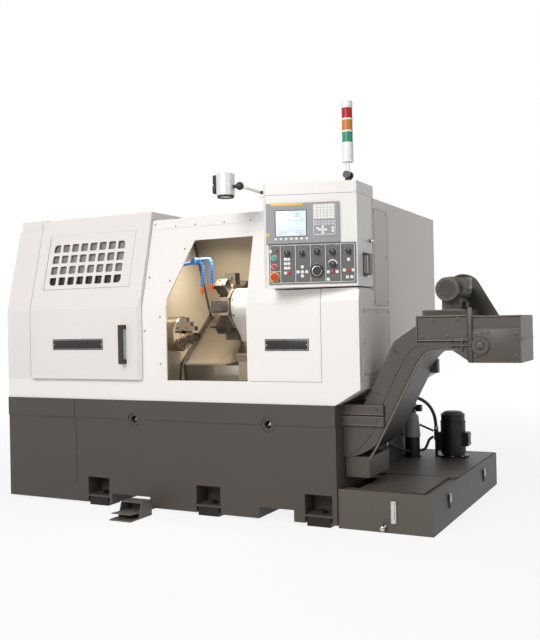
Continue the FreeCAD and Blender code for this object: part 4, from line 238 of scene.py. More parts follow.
softbox("key_lamp", (-0.2, -6.4, 4.2), (0.1, 0, 1.0), 3.0, 290, (1, 0.985, 0.965))
softbox("left_lamp", (-5.5, -3.5, 3.2), (-0.6, 0, 1.0), 2.6, 8)
softbox("right_lamp", (4.6, -2.6, 3.4), (0.7, -0.4, 1.0), 2.4, 14)
work_light = softbox("work_light", (-0.22, -0.33, 1.70), (-0.34, -0.16, 0.95), 0.16, 6.5, (1, 0.90, 0.74))
work_light.data.spread = math.radians(135)
work_light.visible_camera = False

# %% [markdown]
# ## Finishes
# Machine paint is never one flat colour. It has a fine orange-peel skin, a slightly uneven
# shine and faint clouds of tone. One helper builds that from two noise textures read at
# Object coordinates, so the pattern keeps its scale on small and large parts alike.

# %% A painted or moulded finish
SKIN_DISTANCE = 0.0004


def finish(name, colour, roughness, metallic=0.0, cloud=1.4, depth=0.05, grain=420.0,
           relief=0.12, stretch=(1, 1, 1), uneven=0.06, coat=0.0, gloss=0.5):
    """Make a material with clouds of tone, an uneven shine and a fine skin."""
    look = bpy.data.materials.new(name)
    look.use_nodes = True
    tree = look.node_tree
    shader = tree.nodes["Principled BSDF"]
    shader.inputs["Metallic"].default_value = metallic
    shader.inputs["Coat Weight"].default_value = coat
    shader.inputs["Specular IOR Level"].default_value = gloss
    dark = [channel * (1 - depth) for channel in colour]
    light = [min(1, channel * (1 + depth)) for channel in colour]
    place = add_node(tree, "TexCoord")
    turn = add_node(tree, "Mapping", {"Scale": stretch})
    clouds = add_node(tree, "TexNoise", {"Scale": cloud, "Detail": 4})
    tone = add_node(tree, "Mix", {"A": (*dark, 1), "B": (*light, 1)}, data_type="RGBA")
    shine = add_node(tree, "MapRange", {"To Min": max(0.03, roughness - uneven),
                                        "To Max": min(1, roughness + uneven)})
    skin = add_node(tree, "TexNoise", {"Scale": grain, "Detail": 2})
    bump = add_node(tree, "Bump", {"Strength": relief, "Distance": SKIN_DISTANCE})
    wire(tree, (place, "Object", turn, "Vector"), (turn, "Vector", clouds, "Vector"),
         (turn, "Vector", skin, "Vector"), (clouds, "Fac", tone, "Factor"),
         (tone, "Result", shader, "Base Color"), (clouds, "Fac", shine, "Value"),
         (shine, "Result", shader, "Roughness"), (skin, "Fac", bump, "Height"),
         (bump, "Normal", shader, "Normal"))
    return look


# %% [markdown]
# ## Turned steel
# A face that came off a lathe shows rings about its axis. A wave texture set to rings draws
# them; a Mapping node brings the axis of the part to the texture's own axis.

# %% Turned steel
def turned_steel(name, colour, roughness, centre, about="X", rings=260.0, relief=0.15):
    """Make a bright metal whose fine rings run about an axis through a centre."""
    look = finish(name, colour, roughness, 1.0, cloud=9, depth=0.12, uneven=0.08, relief=0.05)
    tree = look.node_tree
    centre_in_model = row @ Vector(centre)
    bring = add_node(tree, "Mapping", {"Location": [-value for value in centre_in_model]})
    wave = add_node(tree, "TexWave", {"Scale": rings, "Distortion": 1.5, "Detail": 2},
                    wave_type="RINGS", rings_direction=about)
    groove = add_node(tree, "Bump", {"Strength": relief, "Distance": SKIN_DISTANCE})
    wire(tree, (tree.nodes["Texture Coordinate"], "Object", bring, "Vector"),
         (bring, "Vector", wave, "Vector"), (wave, "Fac", groove, "Height"),
         (tree.nodes["Bump"], "Normal", groove, "Normal"),
         (groove, "Normal", tree.nodes["Principled BSDF"], "Normal"))
    return look


# %% The machine's finishes
SPINDLE_AXIS = (0, 280, 1077)
TURRET_AXIS = (0, 476.2, 1247.6)

white_paint = finish("white_paint", (0.84, 0.815, 0.795), 0.36, depth=0.02, relief=0.1, coat=0.15)
# The door and the left end cover take a darker copy of the white paint: painted shade for the weaker
# light on the machine's left.
shaded_door_paint = finish("shaded_door_paint", (0.765, 0.73, 0.715), 0.36, depth=0.02, relief=0.1, coat=0.15)
# A dull grey for seams, also used as painted shade along the door's left edge and round its recess.
seam_and_shade_grey = finish("seam_and_shade_grey", (0.24, 0.225, 0.21), 0.6, depth=0.1, gloss=0.2)
# A near black for seams, also used for painted shadow lines beside ribs and under rims and for painted
# shade in the fan cover's holes.
seam_and_shade_black = finish("seam_and_shade_black", (0.020, 0.018, 0.016), 0.7, depth=0.2, gloss=0.1)
# A lighter grey for pressed ribs and rims: painted highlight for the light their raised edges catch.
rib_highlight_grey = finish("rib_highlight_grey", (0.145, 0.128, 0.114), 0.38, depth=0.09, cloud=6, relief=0.16, gloss=0.4)
dark_screw = finish("dark_screw", (0.10, 0.092, 0.085), 0.42, 0.35, cloud=60, depth=0.2, gloss=0.4)
cream_paint = finish("cream_paint", (0.62, 0.56, 0.46), 0.42, depth=0.06)
inner_paint = finish("inner_paint", (0.38, 0.335, 0.265), 0.34, depth=0.10, cloud=3)
cast_tan = finish("cast_tan", (0.34, 0.28, 0.20), 0.38, depth=0.12, cloud=5, grain=200, relief=0.3)
charcoal = finish("charcoal_paint", (0.076, 0.066, 0.058), 0.46, depth=0.07, grain=300, relief=0.22,
                  gloss=0.3)
charcoal_cast = finish("charcoal_cast", (0.30, 0.26, 0.20), 0.50, depth=0.1, grain=160, relief=0.35)
motor_grey = finish("motor_grey", (0.085, 0.075, 0.064), 0.40, depth=0.08, cloud=7, relief=0.2,
                    gloss=0.35)
pump_black = finish("pump_black", (0.011, 0.010, 0.009), 0.36, depth=0.2, cloud=8, relief=0.2, gloss=0.3)
pedal_cast = finish("pedal_cast", (0.13, 0.115, 0.10), 0.46, depth=0.15, cloud=20, grain=120, relief=0.4)
bowl_grey = finish("bowl_grey", (0.30, 0.285, 0.27), 0.40, depth=0.08, cloud=9, relief=0.15)
black_plastic = finish("black_plastic", (0.016, 0.016, 0.017), 0.42, depth=0.15, grain=900, relief=0.25)
soft_black = finish("soft_black", (0.022, 0.021, 0.021), 0.62, depth=0.18, grain=500, relief=0.3)
panel_grey = finish("panel_grey", (0.30, 0.30, 0.315), 0.46, depth=0.03, grain=900, relief=0.2)
switch_grey = finish("switch_grey", (0.115, 0.115, 0.115), 0.5, depth=0.04, grain=700, relief=0.15)
key_white = finish("key_white", (0.82, 0.82, 0.80), 0.4, depth=0.03, grain=900)
key_red = finish("key_red", (0.56, 0.018, 0.022), 0.35, depth=0.06, grain=900)
key_green = finish("key_green", (0.03, 0.36, 0.22), 0.35, depth=0.06, grain=900)
mark_yellow = finish("mark_yellow", (0.80, 0.56, 0.06), 0.42, depth=0.05, grain=700)
mark_white = finish("mark_white", (0.86, 0.86, 0.84), 0.5, depth=0.03, grain=700)
screw_steel = finish("screw_steel", (0.22, 0.21, 0.20), 0.35, 1.0, cloud=60, depth=0.2)
bright_screw = finish("bright_screw", (0.56, 0.54, 0.51), 0.28, 1.0, cloud=60, depth=0.15)
ground_steel = finish("ground_steel", (0.56, 0.53, 0.49), 0.27, 1.0, cloud=6, depth=0.1,
                      grain=260, stretch=(0.08, 1, 1), relief=0.2)
milled_steel = finish("milled_steel", (0.50, 0.46, 0.40), 0.30, 1.0, cloud=12, depth=0.14,
                      grain=300, stretch=(1, 0.1, 1), relief=0.2)
holder_steel = finish("holder_steel", (0.12, 0.105, 0.085), 0.34, 0.6, cloud=14, depth=0.25,
                      grain=300, stretch=(1, 0.1, 1), relief=0.2)
chuck_steel = turned_steel("chuck_steel", (0.52, 0.46, 0.38), 0.22, SPINDLE_AXIS)
turret_steel = turned_steel("turret_steel", (0.50, 0.42, 0.31), 0.25, TURRET_AXIS)
turret_paint = finish("turret_paint", (0.74, 0.71, 0.67), 0.32, depth=0.04, coat=0.2)
belt_rubber = finish("belt_rubber", (0.02, 0.019, 0.018), 0.75, depth=0.2, grain=250, relief=0.4)
hose_blue = finish("hose_blue", (0.055, 0.22, 0.62), 0.34, depth=0.08, cloud=30, grain=700)
nozzle_orange = finish("nozzle_orange", (0.85, 0.14, 0.03), 0.36, depth=0.08, cloud=30, grain=700)
zinc = finish("zinc", (0.55, 0.55, 0.54), 0.4, 1.0, cloud=20, depth=0.15, relief=0.15)
print(len(bpy.data.materials), "finishes are ready")

# %% [markdown]
# ## Two colours on one part
# Some parts carry two colours: a black grip on a white box, a chromed post under a white
# foot. The colours meet on a plane, or where a face turns to another side, so one comparison
# of an object coordinate or of a normal chooses between them, with a sharp edge. A split by
# the normal is painted shade: faces that look to the right or down take a darker colour.

# %% Two-tone finishes
def two_tone(look, colour, axis, beyond, metallic=None, read="Object", where="GREATER_THAN"):
    """Give a finish a second colour past a plane, in metres, or past a share of the normal."""
    tree = look.node_tree
    shader = tree.nodes["Principled BSDF"]
    split = add_node(tree, "SeparateXYZ")
    past = add_node(tree, "Math", {1: beyond}, operation=where)
    change = add_node(tree, "Mix", {"B": (*colour, 1)}, data_type="RGBA")
    wire(tree, (tree.nodes["Texture Coordinate"], read, split, "Vector"), (split, axis, past, 0),
         (past, 0, change, "Factor"), (tree.nodes["Mix"], "Result", change, "A"),
         (change, "Result", shader, "Base Color"))
    if metallic is not None:
        metal = add_node(tree, "MapRange", {"To Min": shader.inputs["Metallic"].default_value,
                                            "To Max": metallic})
        wire(tree, (past, 0, metal, "Value"), (metal, "Result", shader, "Metallic"))
    return look


PAINT, BASE_GREY, BLACK = (0.84, 0.815, 0.795), (0.076, 0.066, 0.058), (0.016, 0.016, 0.017)
# A darker white, painted shade for faces that look to the right, and a lit grey, painted light on the
# upper part of the window glass.
SHADED_SIDE_WHITE, LIT_PANE_GREY, PANE_CHANGE = (0.745, 0.685, 0.655), (0.25, 0.245, 0.235), 1.474
# Two greys of painted shade: a near black for the conveyor's undersides and a dim grey for the tank's
# right side.
UNDERSIDE_SHADE, SIDE_SHADE_GREY = (0.026, 0.022, 0.019), (0.052, 0.045, 0.039)
PLATES_CHANGE, GRIP_CHANGE, MAST_CHANGE, CAP_CHANGE = 0.75, 0.8512, 2.004, 1.902

# Access plates above 0.75 m sit on the right side and take the darker white as painted shade; the
# charcoal below is their own paint.
plates_paint = two_tone(finish("plates_paint", BASE_GREY, 0.46, depth=0.05, relief=0.15, gloss=0.3),
                        SHADED_SIDE_WHITE, "Z", PLATES_CHANGE)
# Faces of the conveyor that look down take the near black: painted shade under the casing and the head.
conveyor_grey = two_tone(finish("conveyor_grey", (0.086, 0.074, 0.065), 0.40, depth=0.09, cloud=4,
                                relief=0.16, gloss=0.35), UNDERSIDE_SHADE, "Z", -0.2, read="Normal",
                         where="LESS_THAN")
# Faces of the tank that look to the right take a dimmer grey: painted shade on its side.
tank_grey = two_tone(finish("tank_grey", (0.108, 0.093, 0.082), 0.44, depth=0.08, cloud=2, relief=0.16,
                            gloss=0.3), SIDE_SHADE_GREY, "X", 0.5, read="Normal")
# Faces of the right wall that look to the right take the darker white: painted shade on that side.
wall_paint = two_tone(finish("wall_paint", PAINT, 0.38, depth=0.02, relief=0.1), SHADED_SIDE_WHITE, "X", 0.7,
                      read="Normal")
box_paint = two_tone(finish("box_paint", PAINT, 0.36, depth=0.02, relief=0.1, coat=0.15), BLACK, "X",
                     GRIP_CHANGE)
cap_paint = two_tone(finish("cap_paint", PAINT, 0.36, depth=0.02, relief=0.1), BLACK, "Z", CAP_CHANGE)
mast_chrome = two_tone(finish("mast_chrome", (0.56, 0.53, 0.49), 0.2, 1.0, cloud=6, depth=0.1,
                              relief=0.05), PAINT, "Z", MAST_CHANGE, 0.0)
print("the two-tone finishes change at", PLATES_CHANGE, GRIP_CHANGE, MAST_CHANGE, "and", CAP_CHANGE, "m")

# %% Finish for every node
DRESS = {
    white_paint: ("front_apron", "headstock_cover", "header_panel", "right_front_cover",
                  "rear_housing", "lamp_head"),
    shaded_door_paint: ("sliding_door", "left_end_cover"),
    wall_paint: ("right_wall",),
    plates_paint: ("access_plates",),
    box_paint: ("control_box",),
    cap_paint: ("control_cap",),
    mast_chrome: ("beacon_mast",),
    cream_paint: ("electrical_cabinet", "cabinet_door"),
    inner_paint: ("headstock_wall", "back_wall"),
    charcoal: ("base_frame", "tank_lid"),
    tank_grey: ("coolant_tank",),
    charcoal_cast: ("slant_bed", "headstock"),
    conveyor_grey: ("conveyor_trough", "conveyor_hood"),
    motor_grey: ("conveyor_drive", "spindle_motor"),
    pump_black: ("coolant_pump", "coolant_filter", "levelling_feet"),
    soft_black: ("door_handle", "coolant_lines"),
    pedal_cast: ("pedal_guard", "foot_pedal"),
    black_plastic: ("mode_selector", "power_selector", "handwheel", "lamp_arm"),
    panel_grey: ("display_unit",),
    switch_grey: ("switch_panel",),
    key_red: ("stop_button", "hold_button"),
    key_green: ("start_button",),
    ground_steel: ("way_covers", "quill", "conveyor_belt", "spindle"),
    milled_steel: ("saddle", "cross_slide"),
    holder_steel: ("tool_holders",),
    chuck_steel: ("chuck_body", "chuck_jaw_1", "chuck_jaw_2", "chuck_jaw_3"),
    turret_steel: ("turret_disc",),
    turret_paint: ("turret_housing",),
    cast_tan: ("tailstock",),
    belt_rubber: ("drive_belt",),
    hose_blue: ("coolant_hose",),
    zinc: ("conveyor_shaft",),
    key_white: ("beacon_lenses",),
}

for look, names in DRESS.items():
    for name in names:
        nodes[name].data.materials.clear()
        nodes[name].data.materials.append(look)
bare = [name for name in nodes if not any(name in names for names in DRESS.values())]
print("nodes with no finish:", bare)

# %% [markdown]
# ## From a bmesh to a piece
# Each new piece is shaped in millimetres in a handy frame of its own. One helper then welds
# it, turns its faces outwards, moves it into the model's frame and hands it to the body
# that carries it. The object itself stays at the origin, and its place is in its mesh.

# %% Pieces
WELD = 0.01
SMOOTH_BELOW = 32
HERE = Matrix.Identity(4)


def gather(shapes):
    """Put several (shape, place) pairs into one bmesh."""
    whole = bmesh.new()
    for shape, place in shapes:
        mesh = bpy.data.meshes.new("part_of_a_piece")
        shape.to_mesh(mesh)
        shape.free()
        known = len(whole.verts)
        whole.from_mesh(mesh)
        bpy.data.meshes.remove(mesh)
        whole.verts.ensure_lookup_table()
        bmesh.ops.transform(whole, matrix=place, verts=whole.verts[known:])
    return whole


def repeat(make, places):
    """Make a shape once for each place and pair them."""
    return [(make(), place) for place in places]


def add_piece(name, shape, look, body="machine", place=HERE, stands_for=()):
    """Make a finished piece from a bmesh, or from (shape, place) pairs, in millimetres."""
    if isinstance(shape, list):
        shape = gather(shape)
    bmesh.ops.remove_doubles(shape, verts=shape.verts, dist=WELD)
    bmesh.ops.recalc_face_normals(shape, faces=shape.faces)
    bmesh.ops.transform(shape, matrix=row @ place, verts=shape.verts)
    mesh = bpy.data.meshes.new(name)
    for polygon in shape.faces:
        polygon.smooth = True
    shape.to_mesh(mesh)
    shape.free()
    mesh.set_sharp_from_angle(angle=math.radians(SMOOTH_BELOW))
    mesh.materials.append(look)
    piece = new_object(name, mesh)
    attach(piece, body)
    if stands_for:
        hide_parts(*stands_for)


def block(wide, tall, thick, edge=0.0, steps=2):
    """A block with rounded edges whose back lies on z = 0 and whose middle is at the origin."""
    shape = bmesh.new()
    bmesh.ops.create_cube(shape, size=1)
    bmesh.ops.scale(shape, vec=(wide, tall, thick), verts=shape.verts)
    bmesh.ops.translate(shape, vec=(0, 0, thick / 2), verts=shape.verts)
    if edge:
        bmesh.ops.bevel(shape, geom=shape.edges[:], offset=edge, affect="EDGES",
                        segments=steps, profile=0.5, material=-1)
    return shape


def thicken(shape, high):
    """Give a flat shape a height by raising a copy of its faces."""
    grown = bmesh.ops.extrude_face_region(shape, geom=shape.faces[:])
    lifted = [item for item in grown["geom"] if isinstance(item, bmesh.types.BMVert)]
    bmesh.ops.translate(shape, vec=(0, 0, high), verts=lifted)
    return shape


def spun(profile, steps=48):
    """A shape of revolution about z from a profile of (radius, height) points."""
    shape = bmesh.new()
    spots = [shape.verts.new((radius, 0, height)) for radius, height in profile]
    edges = [shape.edges.new(pair) for pair in zip(spots, spots[1:])]
    bmesh.ops.spin(shape, geom=spots + edges, axis=(0, 0, 1), cent=(0, 0, 0),
                   angle=math.tau, steps=steps, use_merge=True)
    bmesh.ops.remove_doubles(shape, verts=shape.verts, dist=WELD)
    return shape


def ring(wide, tall, line, corner, high, steps=6):
    """A flat frame with rounded corners whose back lies on z = 0."""
    shape = bmesh.new()
    bmesh.ops.create_grid(shape, x_segments=1, y_segments=1, size=0.5)
    bmesh.ops.scale(shape, vec=(wide, tall, 1), verts=shape.verts)
    bmesh.ops.bevel(shape, geom=shape.verts[:], offset=corner, affect="VERTICES",
                    segments=steps, profile=0.5, material=-1)
    middle = shape.faces[:]
    bmesh.ops.inset_region(shape, faces=middle, thickness=line, use_boundary=True, use_even_offset=True)
    bmesh.ops.delete(shape, geom=middle, context="FACES_ONLY")
    return thicken(shape, high)


def mesh_of(thing):
    """Take the mesh of a curve or a text and drop its object."""
    bpy.context.view_layer.update()
    mesh = bpy.data.meshes.new_from_object(thing)
    curve = thing.data
    bpy.data.objects.remove(thing)
    bpy.data.curves.remove(curve)
    return mesh


def shape_of(mesh):
    """Turn a mesh into a bmesh and drop the mesh."""
    shape = bmesh.new()
    shape.from_mesh(mesh)
    bpy.data.meshes.remove(mesh)
    return shape


print("pieces are welded at", WELD, "mm and smooth below", SMOOTH_BELOW, "degrees")

# %% [markdown]
# ## Finding the surface
# A screw must sit on the sheet that it holds, also where that sheet leans. So its place is
# found by a ray: it starts in front of the machine, meets the CAD node, and the face that
# it meets gives the height and the tilt.

# %% Seats
trees = {}


def tree_of(name):
    """The search tree of a CAD node's triangles."""
    if name not in trees:
        mesh = nodes[name].data
        trees[name] = BVHTree.FromPolygons([spot.co for spot in mesh.vertices],
                                           [polygon.vertices for polygon in mesh.polygons])
    return trees[name]


def seat(name, start, way):
    """The frame of the surface that a ray meets: z along its normal, y upwards."""
    back = row.inverted()
    spot, normal, _, _ = tree_of(name).ray_cast(row @ Vector(start), Vector(way))
    if spot is None:
        raise ValueError(f"no surface of {name} lies beyond {start}")
    if normal.dot(Vector(way)) > 0:
        normal = -normal
    across = Vector((0, 0, 1)).cross(normal)
    across = across.normalized() if across.length > WELD else Vector((1, 0, 0))
    turn = Matrix((across, normal.cross(across), normal)).transposed().to_4x4()
    return at(*(back @ spot)) @ turn


def from_front(name, x, z):
    """Seat something on a face that the operator sees."""
    return seat(name, (x, -700, z), (0, 1, 0))


def from_right(name, y, z):
    """Seat something on a face that looks at the conveyor end."""
    return seat(name, (1600, y, z), (-1, 0, 0))


# %% [markdown]
# ## Screws
# Button-head screws hold the sheet covers. On the real machine each is a low dome with a
# socket. A short profile spun about its axis gives both; twelve steps are enough at 12 mm.
# Those under the sliding door are flatter, so that the door clears them.

# %% Screws
def button_screw(radius=6.0, high=3.2, steps=12):
    """A low domed head with a socket."""
    return spun([(0, high * 0.35), (radius * 0.42, high * 0.35), (radius * 0.46, high * 0.95),
                 (radius * 0.72, high), (radius * 0.93, high * 0.62), (radius, 0)], steps)


def socket_screw(radius=7.0, high=7.0, steps=20):
    """A cylinder head with a round socket and a softened rim."""
    return spun([(0, high * 0.4), (radius * 0.52, high * 0.4), (radius * 0.55, high),
                 (radius * 0.9, high), (radius, high * 0.86), (radius, 0), (0, 0)], steps)


def hex_bolt(across=16.0, high=9.0):
    """A hexagon head with a chamfered crown on a washer."""
    head = bmesh.new()
    bmesh.ops.create_cone(head, cap_ends=True, segments=6, radius1=across / 2, radius2=across / 2,
                          depth=high)
    bmesh.ops.translate(head, vec=(0, 0, high / 2 + 1.5), verts=head.verts)
    rim = [edge for edge in head.edges if all(spot.co.z > high for spot in edge.verts)]
    bmesh.ops.bevel(head, geom=rim, offset=1.2, affect="EDGES", segments=1, profile=0.5, material=-1)
    washer = spun([(0, 0), (across * 0.68, 0), (across * 0.68, 1.2), (across * 0.62, 1.7), (0, 1.7)], 16)
    return gather([(head, HERE), (washer, HERE)])


def add_screws(name, spots, radius=6.0, high=3.2, look=screw_steel, steps=12, body="machine"):
    """Set button-head screws on spots of one body."""
    heads = repeat(lambda: button_screw(radius, high, steps), spots)
    add_piece(name, heads, look, body)


def add_sockets(name, spots, radius, high, body):
    """Set socket screws on spots of one body."""
    heads = repeat(lambda: socket_screw(radius, high), spots)
    add_piece(name, heads, screw_steel, body)


HEAD_UNDER_DOOR = 1.4

cover_spots = [from_front("headstock_cover", x, z) for x, z in
               ((-1009, 1599), (-1090, 1405), (-1141, 1185), (-1144, 899), (-1246, 1433), (-1256, 1102))]
header_spots = [from_front("header_panel", x, z) for x, z in
                ((-1250, 1768), (-1095, 1748), (-953, 1748), (-748, 1748), (-566, 1748))]
cover_spots += [from_right("right_wall", 262, z) for z in (1758, 1500, 1242)]
cover_spots += [from_right("access_plates", y, z) for y, z in
                ((467, 1762), (468, 1504), (464, 1244), (73, 1186), (275, 1186), (475, 1186),
                 (71, 1014), (70, 848), (480, 848), (480, 1014))]
add_screws("cover_screws", cover_spots)
add_screws("header_screws", header_spots, high=HEAD_UNDER_DOOR)

plate_spots = [from_front("access_plates", x, z) for x, z in
               ((-2098, 522), (-2098, 152), (-1830, 522), (-1830, 347), (-1830, 152))]
add_screws("base_screws", plate_spots, 8, 4, dark_screw)
print("screws on the covers:", len(cover_spots) + len(header_spots) + len(plate_spots))

# %% [markdown]
# ## Door window and name plates
# The viewing window is a grid of openings with a sheet of safety glass behind it. The glass
# needs its own piece, because the CAD door is open there. It lies in a shallow frame on the
# door's inner side. Its colour is painted light and shade for the view through it: a lit grey
# above the lowest row of openings and near black below. The two plates are bare: a dark sheet
# with a fine rim and two rivets.

# %% Window glass
PANE_WIDE, PANE_TALL = 690, 350

# Near black below 1.474 m and a lit grey above: painted shade and painted light for the view through the
# glass.
pane_look = two_tone(finish("window_glass", (0.035, 0.034, 0.032), 0.10, depth=0.25, cloud=1.1,
                            relief=0.02, uneven=0.03), LIT_PANE_GREY, "Z", PANE_CHANGE)
window_seat = from_front("sliding_door", -1737, 1545) @ at(16, 31, 0)
add_piece("window_pane", block(PANE_WIDE, PANE_TALL, 4, 1), pane_look, "door",
          window_seat @ at(0, 0, -23))
add_piece("window_frame", ring(PANE_WIDE + 16, PANE_TALL + 16, 12, 14, 11), soft_black,
          "door", window_seat @ at(0, 0, -19))
print("the glass is", PANE_WIDE, "by", PANE_TALL, "mm")

# %% Name plates
plate_look = finish("plate_black", (0.035, 0.033, 0.033), 0.32, 0.6, cloud=6, depth=0.2,
                    stretch=(0.1, 1, 1), grain=500, relief=0.15)
PLATES = {"door_plate": ("sliding_door", -1760, 1023, 406, 70, "door"),
          "cover_plate": ("right_front_cover", -287, 1009, 275, 68, "machine")}

for name, (carrier, x, z, wide, tall, body) in PLATES.items():
    middle = from_front(carrier, x, z)
    add_piece(name, block(wide, tall, 2.4, 1.1), plate_look, body, middle)
    rim = ring(wide - 9, tall - 9, 2.2, 6, 0.4)
    ends = [at(side_x * (wide / 2 - 12), 0, 2.4) for side_x in (-1, 1)]
    rivets = repeat(lambda: button_screw(4, 1.8), ends)
    add_piece(name + "_rim", [(rim, at(0, 0, 2.4))] + rivets, bright_screw, body, middle)
    print(name, "is", wide, "by", tall, "mm")

# %% [markdown]
# ## Signal tower
# Three lenses stand on a white foot, each between white bands, under a low cap. A lens is
# ribbed inside to spread the light. Ribs in the profile give the same look, so one spun
# profile with a rib every few millimetres is the lens.

# %% Signal tower
MAST = (90, 40)
LENS_START, LENS_TALL, BAND_TALL, LENS_RADIUS, BAND_RADIUS = 2114, 56, 10, 29, 31
RIB, TOWER_TOP = 7, 2338.5

lens_red, lens_amber, lens_green = [
    finish(name, colour, 0.24, depth=0.1, cloud=30, relief=0.03, gloss=0.25) for name, colour in
    (("lens_red", (0.42, 0.012, 0.014)), ("lens_amber", (0.56, 0.20, 0.03)),
     ("lens_green", (0.03, 0.28, 0.18)))]
LENSES = (("lens_low", lens_green), ("lens_middle", lens_amber), ("lens_high", lens_red))


def ribbed_lens(start):
    """A closed drum whose wall has a rib every few millimetres."""
    wall = []
    for rib in range(LENS_TALL // RIB):
        low = start + rib * RIB
        wall += [(LENS_RADIUS, low), (LENS_RADIUS + 0.7, low + RIB / 2)]
    return spun([(0, start), *wall, (LENS_RADIUS, start + LENS_TALL), (0, start + LENS_TALL)], 40)


def band(low, high):
    """A white band with softened edges."""
    return spun([(0, low), (BAND_RADIUS - 1, low), (BAND_RADIUS, low + 1), (BAND_RADIUS, high - 1),
                 (BAND_RADIUS - 1, high), (0, high)], 40)


lens_step = LENS_TALL + BAND_TALL
for count, (name, look) in enumerate(LENSES):
    add_piece(name, ribbed_lens(LENS_START + count * lens_step), look, "beacon",
              at(*MAST, 0))
bands = [(band(LENS_START + count * lens_step + LENS_TALL, LENS_START + (count + 1) * lens_step), HERE)
         for count in range(len(LENSES))]
crown = spun([(0, 2312), (31, 2312), (31, 2318), (29, 2327), (22, 2334), (0, TOWER_TOP)], 40)
add_piece("tower_bands", bands + [(crown, HERE)], key_white, "beacon", at(*MAST, 0),
          stands_for=("beacon_lenses",))
print("the tower's top is at", round((row @ Vector((0, 0, TOWER_TOP))).z, 4), "m")

# %% [markdown]
# ## Work lamp
# A round lamp with a silver housing sits at the end of a swivelling arm, held by a ball and
# a clamp with a black hand screw. The housing is hollow below, with a glass over the bulb.

# %% Work lamp
LAMP = (-577, -150)
LAMP_LOW, LAMP_TOP, LAMP_RADIUS = 1857, 1980, 53

lamp_silver = finish("lamp_silver", (0.72, 0.71, 0.70), 0.30, 0.25, cloud=5, depth=0.05, relief=0.06,
                     coat=0.2)
lamp_glass = finish("lamp_glass", (0.80, 0.74, 0.62), 0.12, cloud=12, depth=0.06, relief=0.05, coat=0.6)
shell = spun([(0, LAMP_TOP), (LAMP_RADIUS - 6, LAMP_TOP), (LAMP_RADIUS - 1.5, LAMP_TOP - 2),
              (LAMP_RADIUS, LAMP_TOP - 7), (LAMP_RADIUS, LAMP_LOW + 3), (LAMP_RADIUS - 2, LAMP_LOW),
              (LAMP_RADIUS - 6, LAMP_LOW), (LAMP_RADIUS - 20, LAMP_TOP - 30), (0, LAMP_TOP - 26)], 64)
add_piece("lamp_shell", shell, lamp_silver, "lamp", at(*LAMP, 0), stands_for=("lamp_head",))
lip = spun([(44, LAMP_LOW - 12), (46.5, LAMP_LOW - 12), (47.5, LAMP_LOW - 8), (47.5, LAMP_LOW),
            (41, LAMP_LOW), (41, LAMP_LOW - 9), (44, LAMP_LOW - 12)], 64)
add_piece("lamp_lip", lip, soft_black, "lamp", at(*LAMP, 0))
glass = spun([(0, LAMP_LOW - 8), (41, LAMP_LOW - 7), (41, LAMP_LOW - 4), (0, LAMP_LOW - 4)], 48)
add_piece("lamp_glass", glass, lamp_glass, "lamp", at(*LAMP, 0))
clamp = [(block(*size), at(x, LAMP[1], z)) for x, z, *size in
         ((-641, 1871, 20, 50, 50, 8, 3), (-640, 1922, 22, 44, 56, 9, 3), (-634, 1908, 16, 30, 20, 4))]
clamp.append((spun([(0, 0), (9, 0), (10, 2), (10, 32), (8, 40), (0, 40)], 24),
              at(-527, LAMP[1], 1904) @ lying))
add_piece("lamp_clamp", clamp, soft_black, "lamp")
ARM_ROOT, ARM_BALL = Vector((-368, -104, 1861)), Vector((-485, -150, 1904))
reach = ARM_BALL - ARM_ROOT
sleeve = spun([(0, 12), (7.6, 12), (8, 14), (6.9, reach.length - 24), (0, reach.length - 24)], 24)
sleeve_place = at(*ARM_ROOT) @ towards(reach)
add_piece("lamp_sleeve", sleeve, ground_steel, "lamp_swing_arm", sleeve_place)
print("the lamp's arm is", round(reach.length), "mm long")

# %% [markdown]
# ## Screen and keypad
# The control has a pale screen behind a dark rim, a row of keys below it and a keypad of
# small white keys with a cross of cursor keys. Each key is a low block with rounded edges.
# The keys differ only in place and colour, so a table of places makes them all.

# %% Screen
SCREEN_WIDE, SCREEN_TALL = 168, 140
SCREEN_MIDDLE = (137, 348)

screen_look = finish("screen_blue", (0.66, 0.76, 0.92), 0.14, cloud=5, depth=0.05, relief=0.01)
screen_shader = screen_look.node_tree.nodes["Principled BSDF"]
screen_shader.inputs["Emission Color"].default_value = (0.66, 0.78, 1, 1)
screen_shader.inputs["Emission Strength"].default_value = 0.25
ink = finish("screen_ink", (0.10, 0.14, 0.24), 0.4, cloud=40)
screen_out = (face.inverted() @ seat("display_unit", (-212, -600, 1675), (0, 1, 0)).translation).z
add_piece("screen", block(SCREEN_WIDE, SCREEN_TALL, 1.6, 0.6), screen_look,
          "control_swing", on_face(*SCREEN_MIDDLE, screen_out))
add_piece("screen_rim", ring(SCREEN_WIDE + 6, SCREEN_TALL + 6, 4, 3, 14.8 - screen_out),
          soft_black, "control_swing", on_face(*SCREEN_MIDDLE, screen_out))
print("the screen lies at", round(screen_out, 1), "mm from the box's face")


def letters(text, size, high=0.3):
    """Generic figures as a thin solid, centred on the origin."""
    curve = bpy.data.curves.new("figures", "FONT")
    curve.body = text
    curve.size = size
    curve.extrude = high / 2
    curve.resolution_u = 2
    curve.align_x = curve.align_y = "CENTER"
    return shape_of(mesh_of(new_object("figures", curve)))


lines = [(letters(text, 11), at(across, up, 1.7)) for text, across, up in
         (("0.000", 34, 52), ("0.000", 34, 38), ("120", 60, 24), ("00 01", -62, 52),
          ("10  20  30", -44, -50), ("40  50", 40, -50), ("0  0", -60, -60), ("15:30", 56, -60))]
rules = [(block(150, 1, 0.4), at(0, up, 1.5)) for up in (62, 14, -40)]
add_piece("screen_figures", lines + rules, ink, "control_swing",
          on_face(*SCREEN_MIDDLE, screen_out))

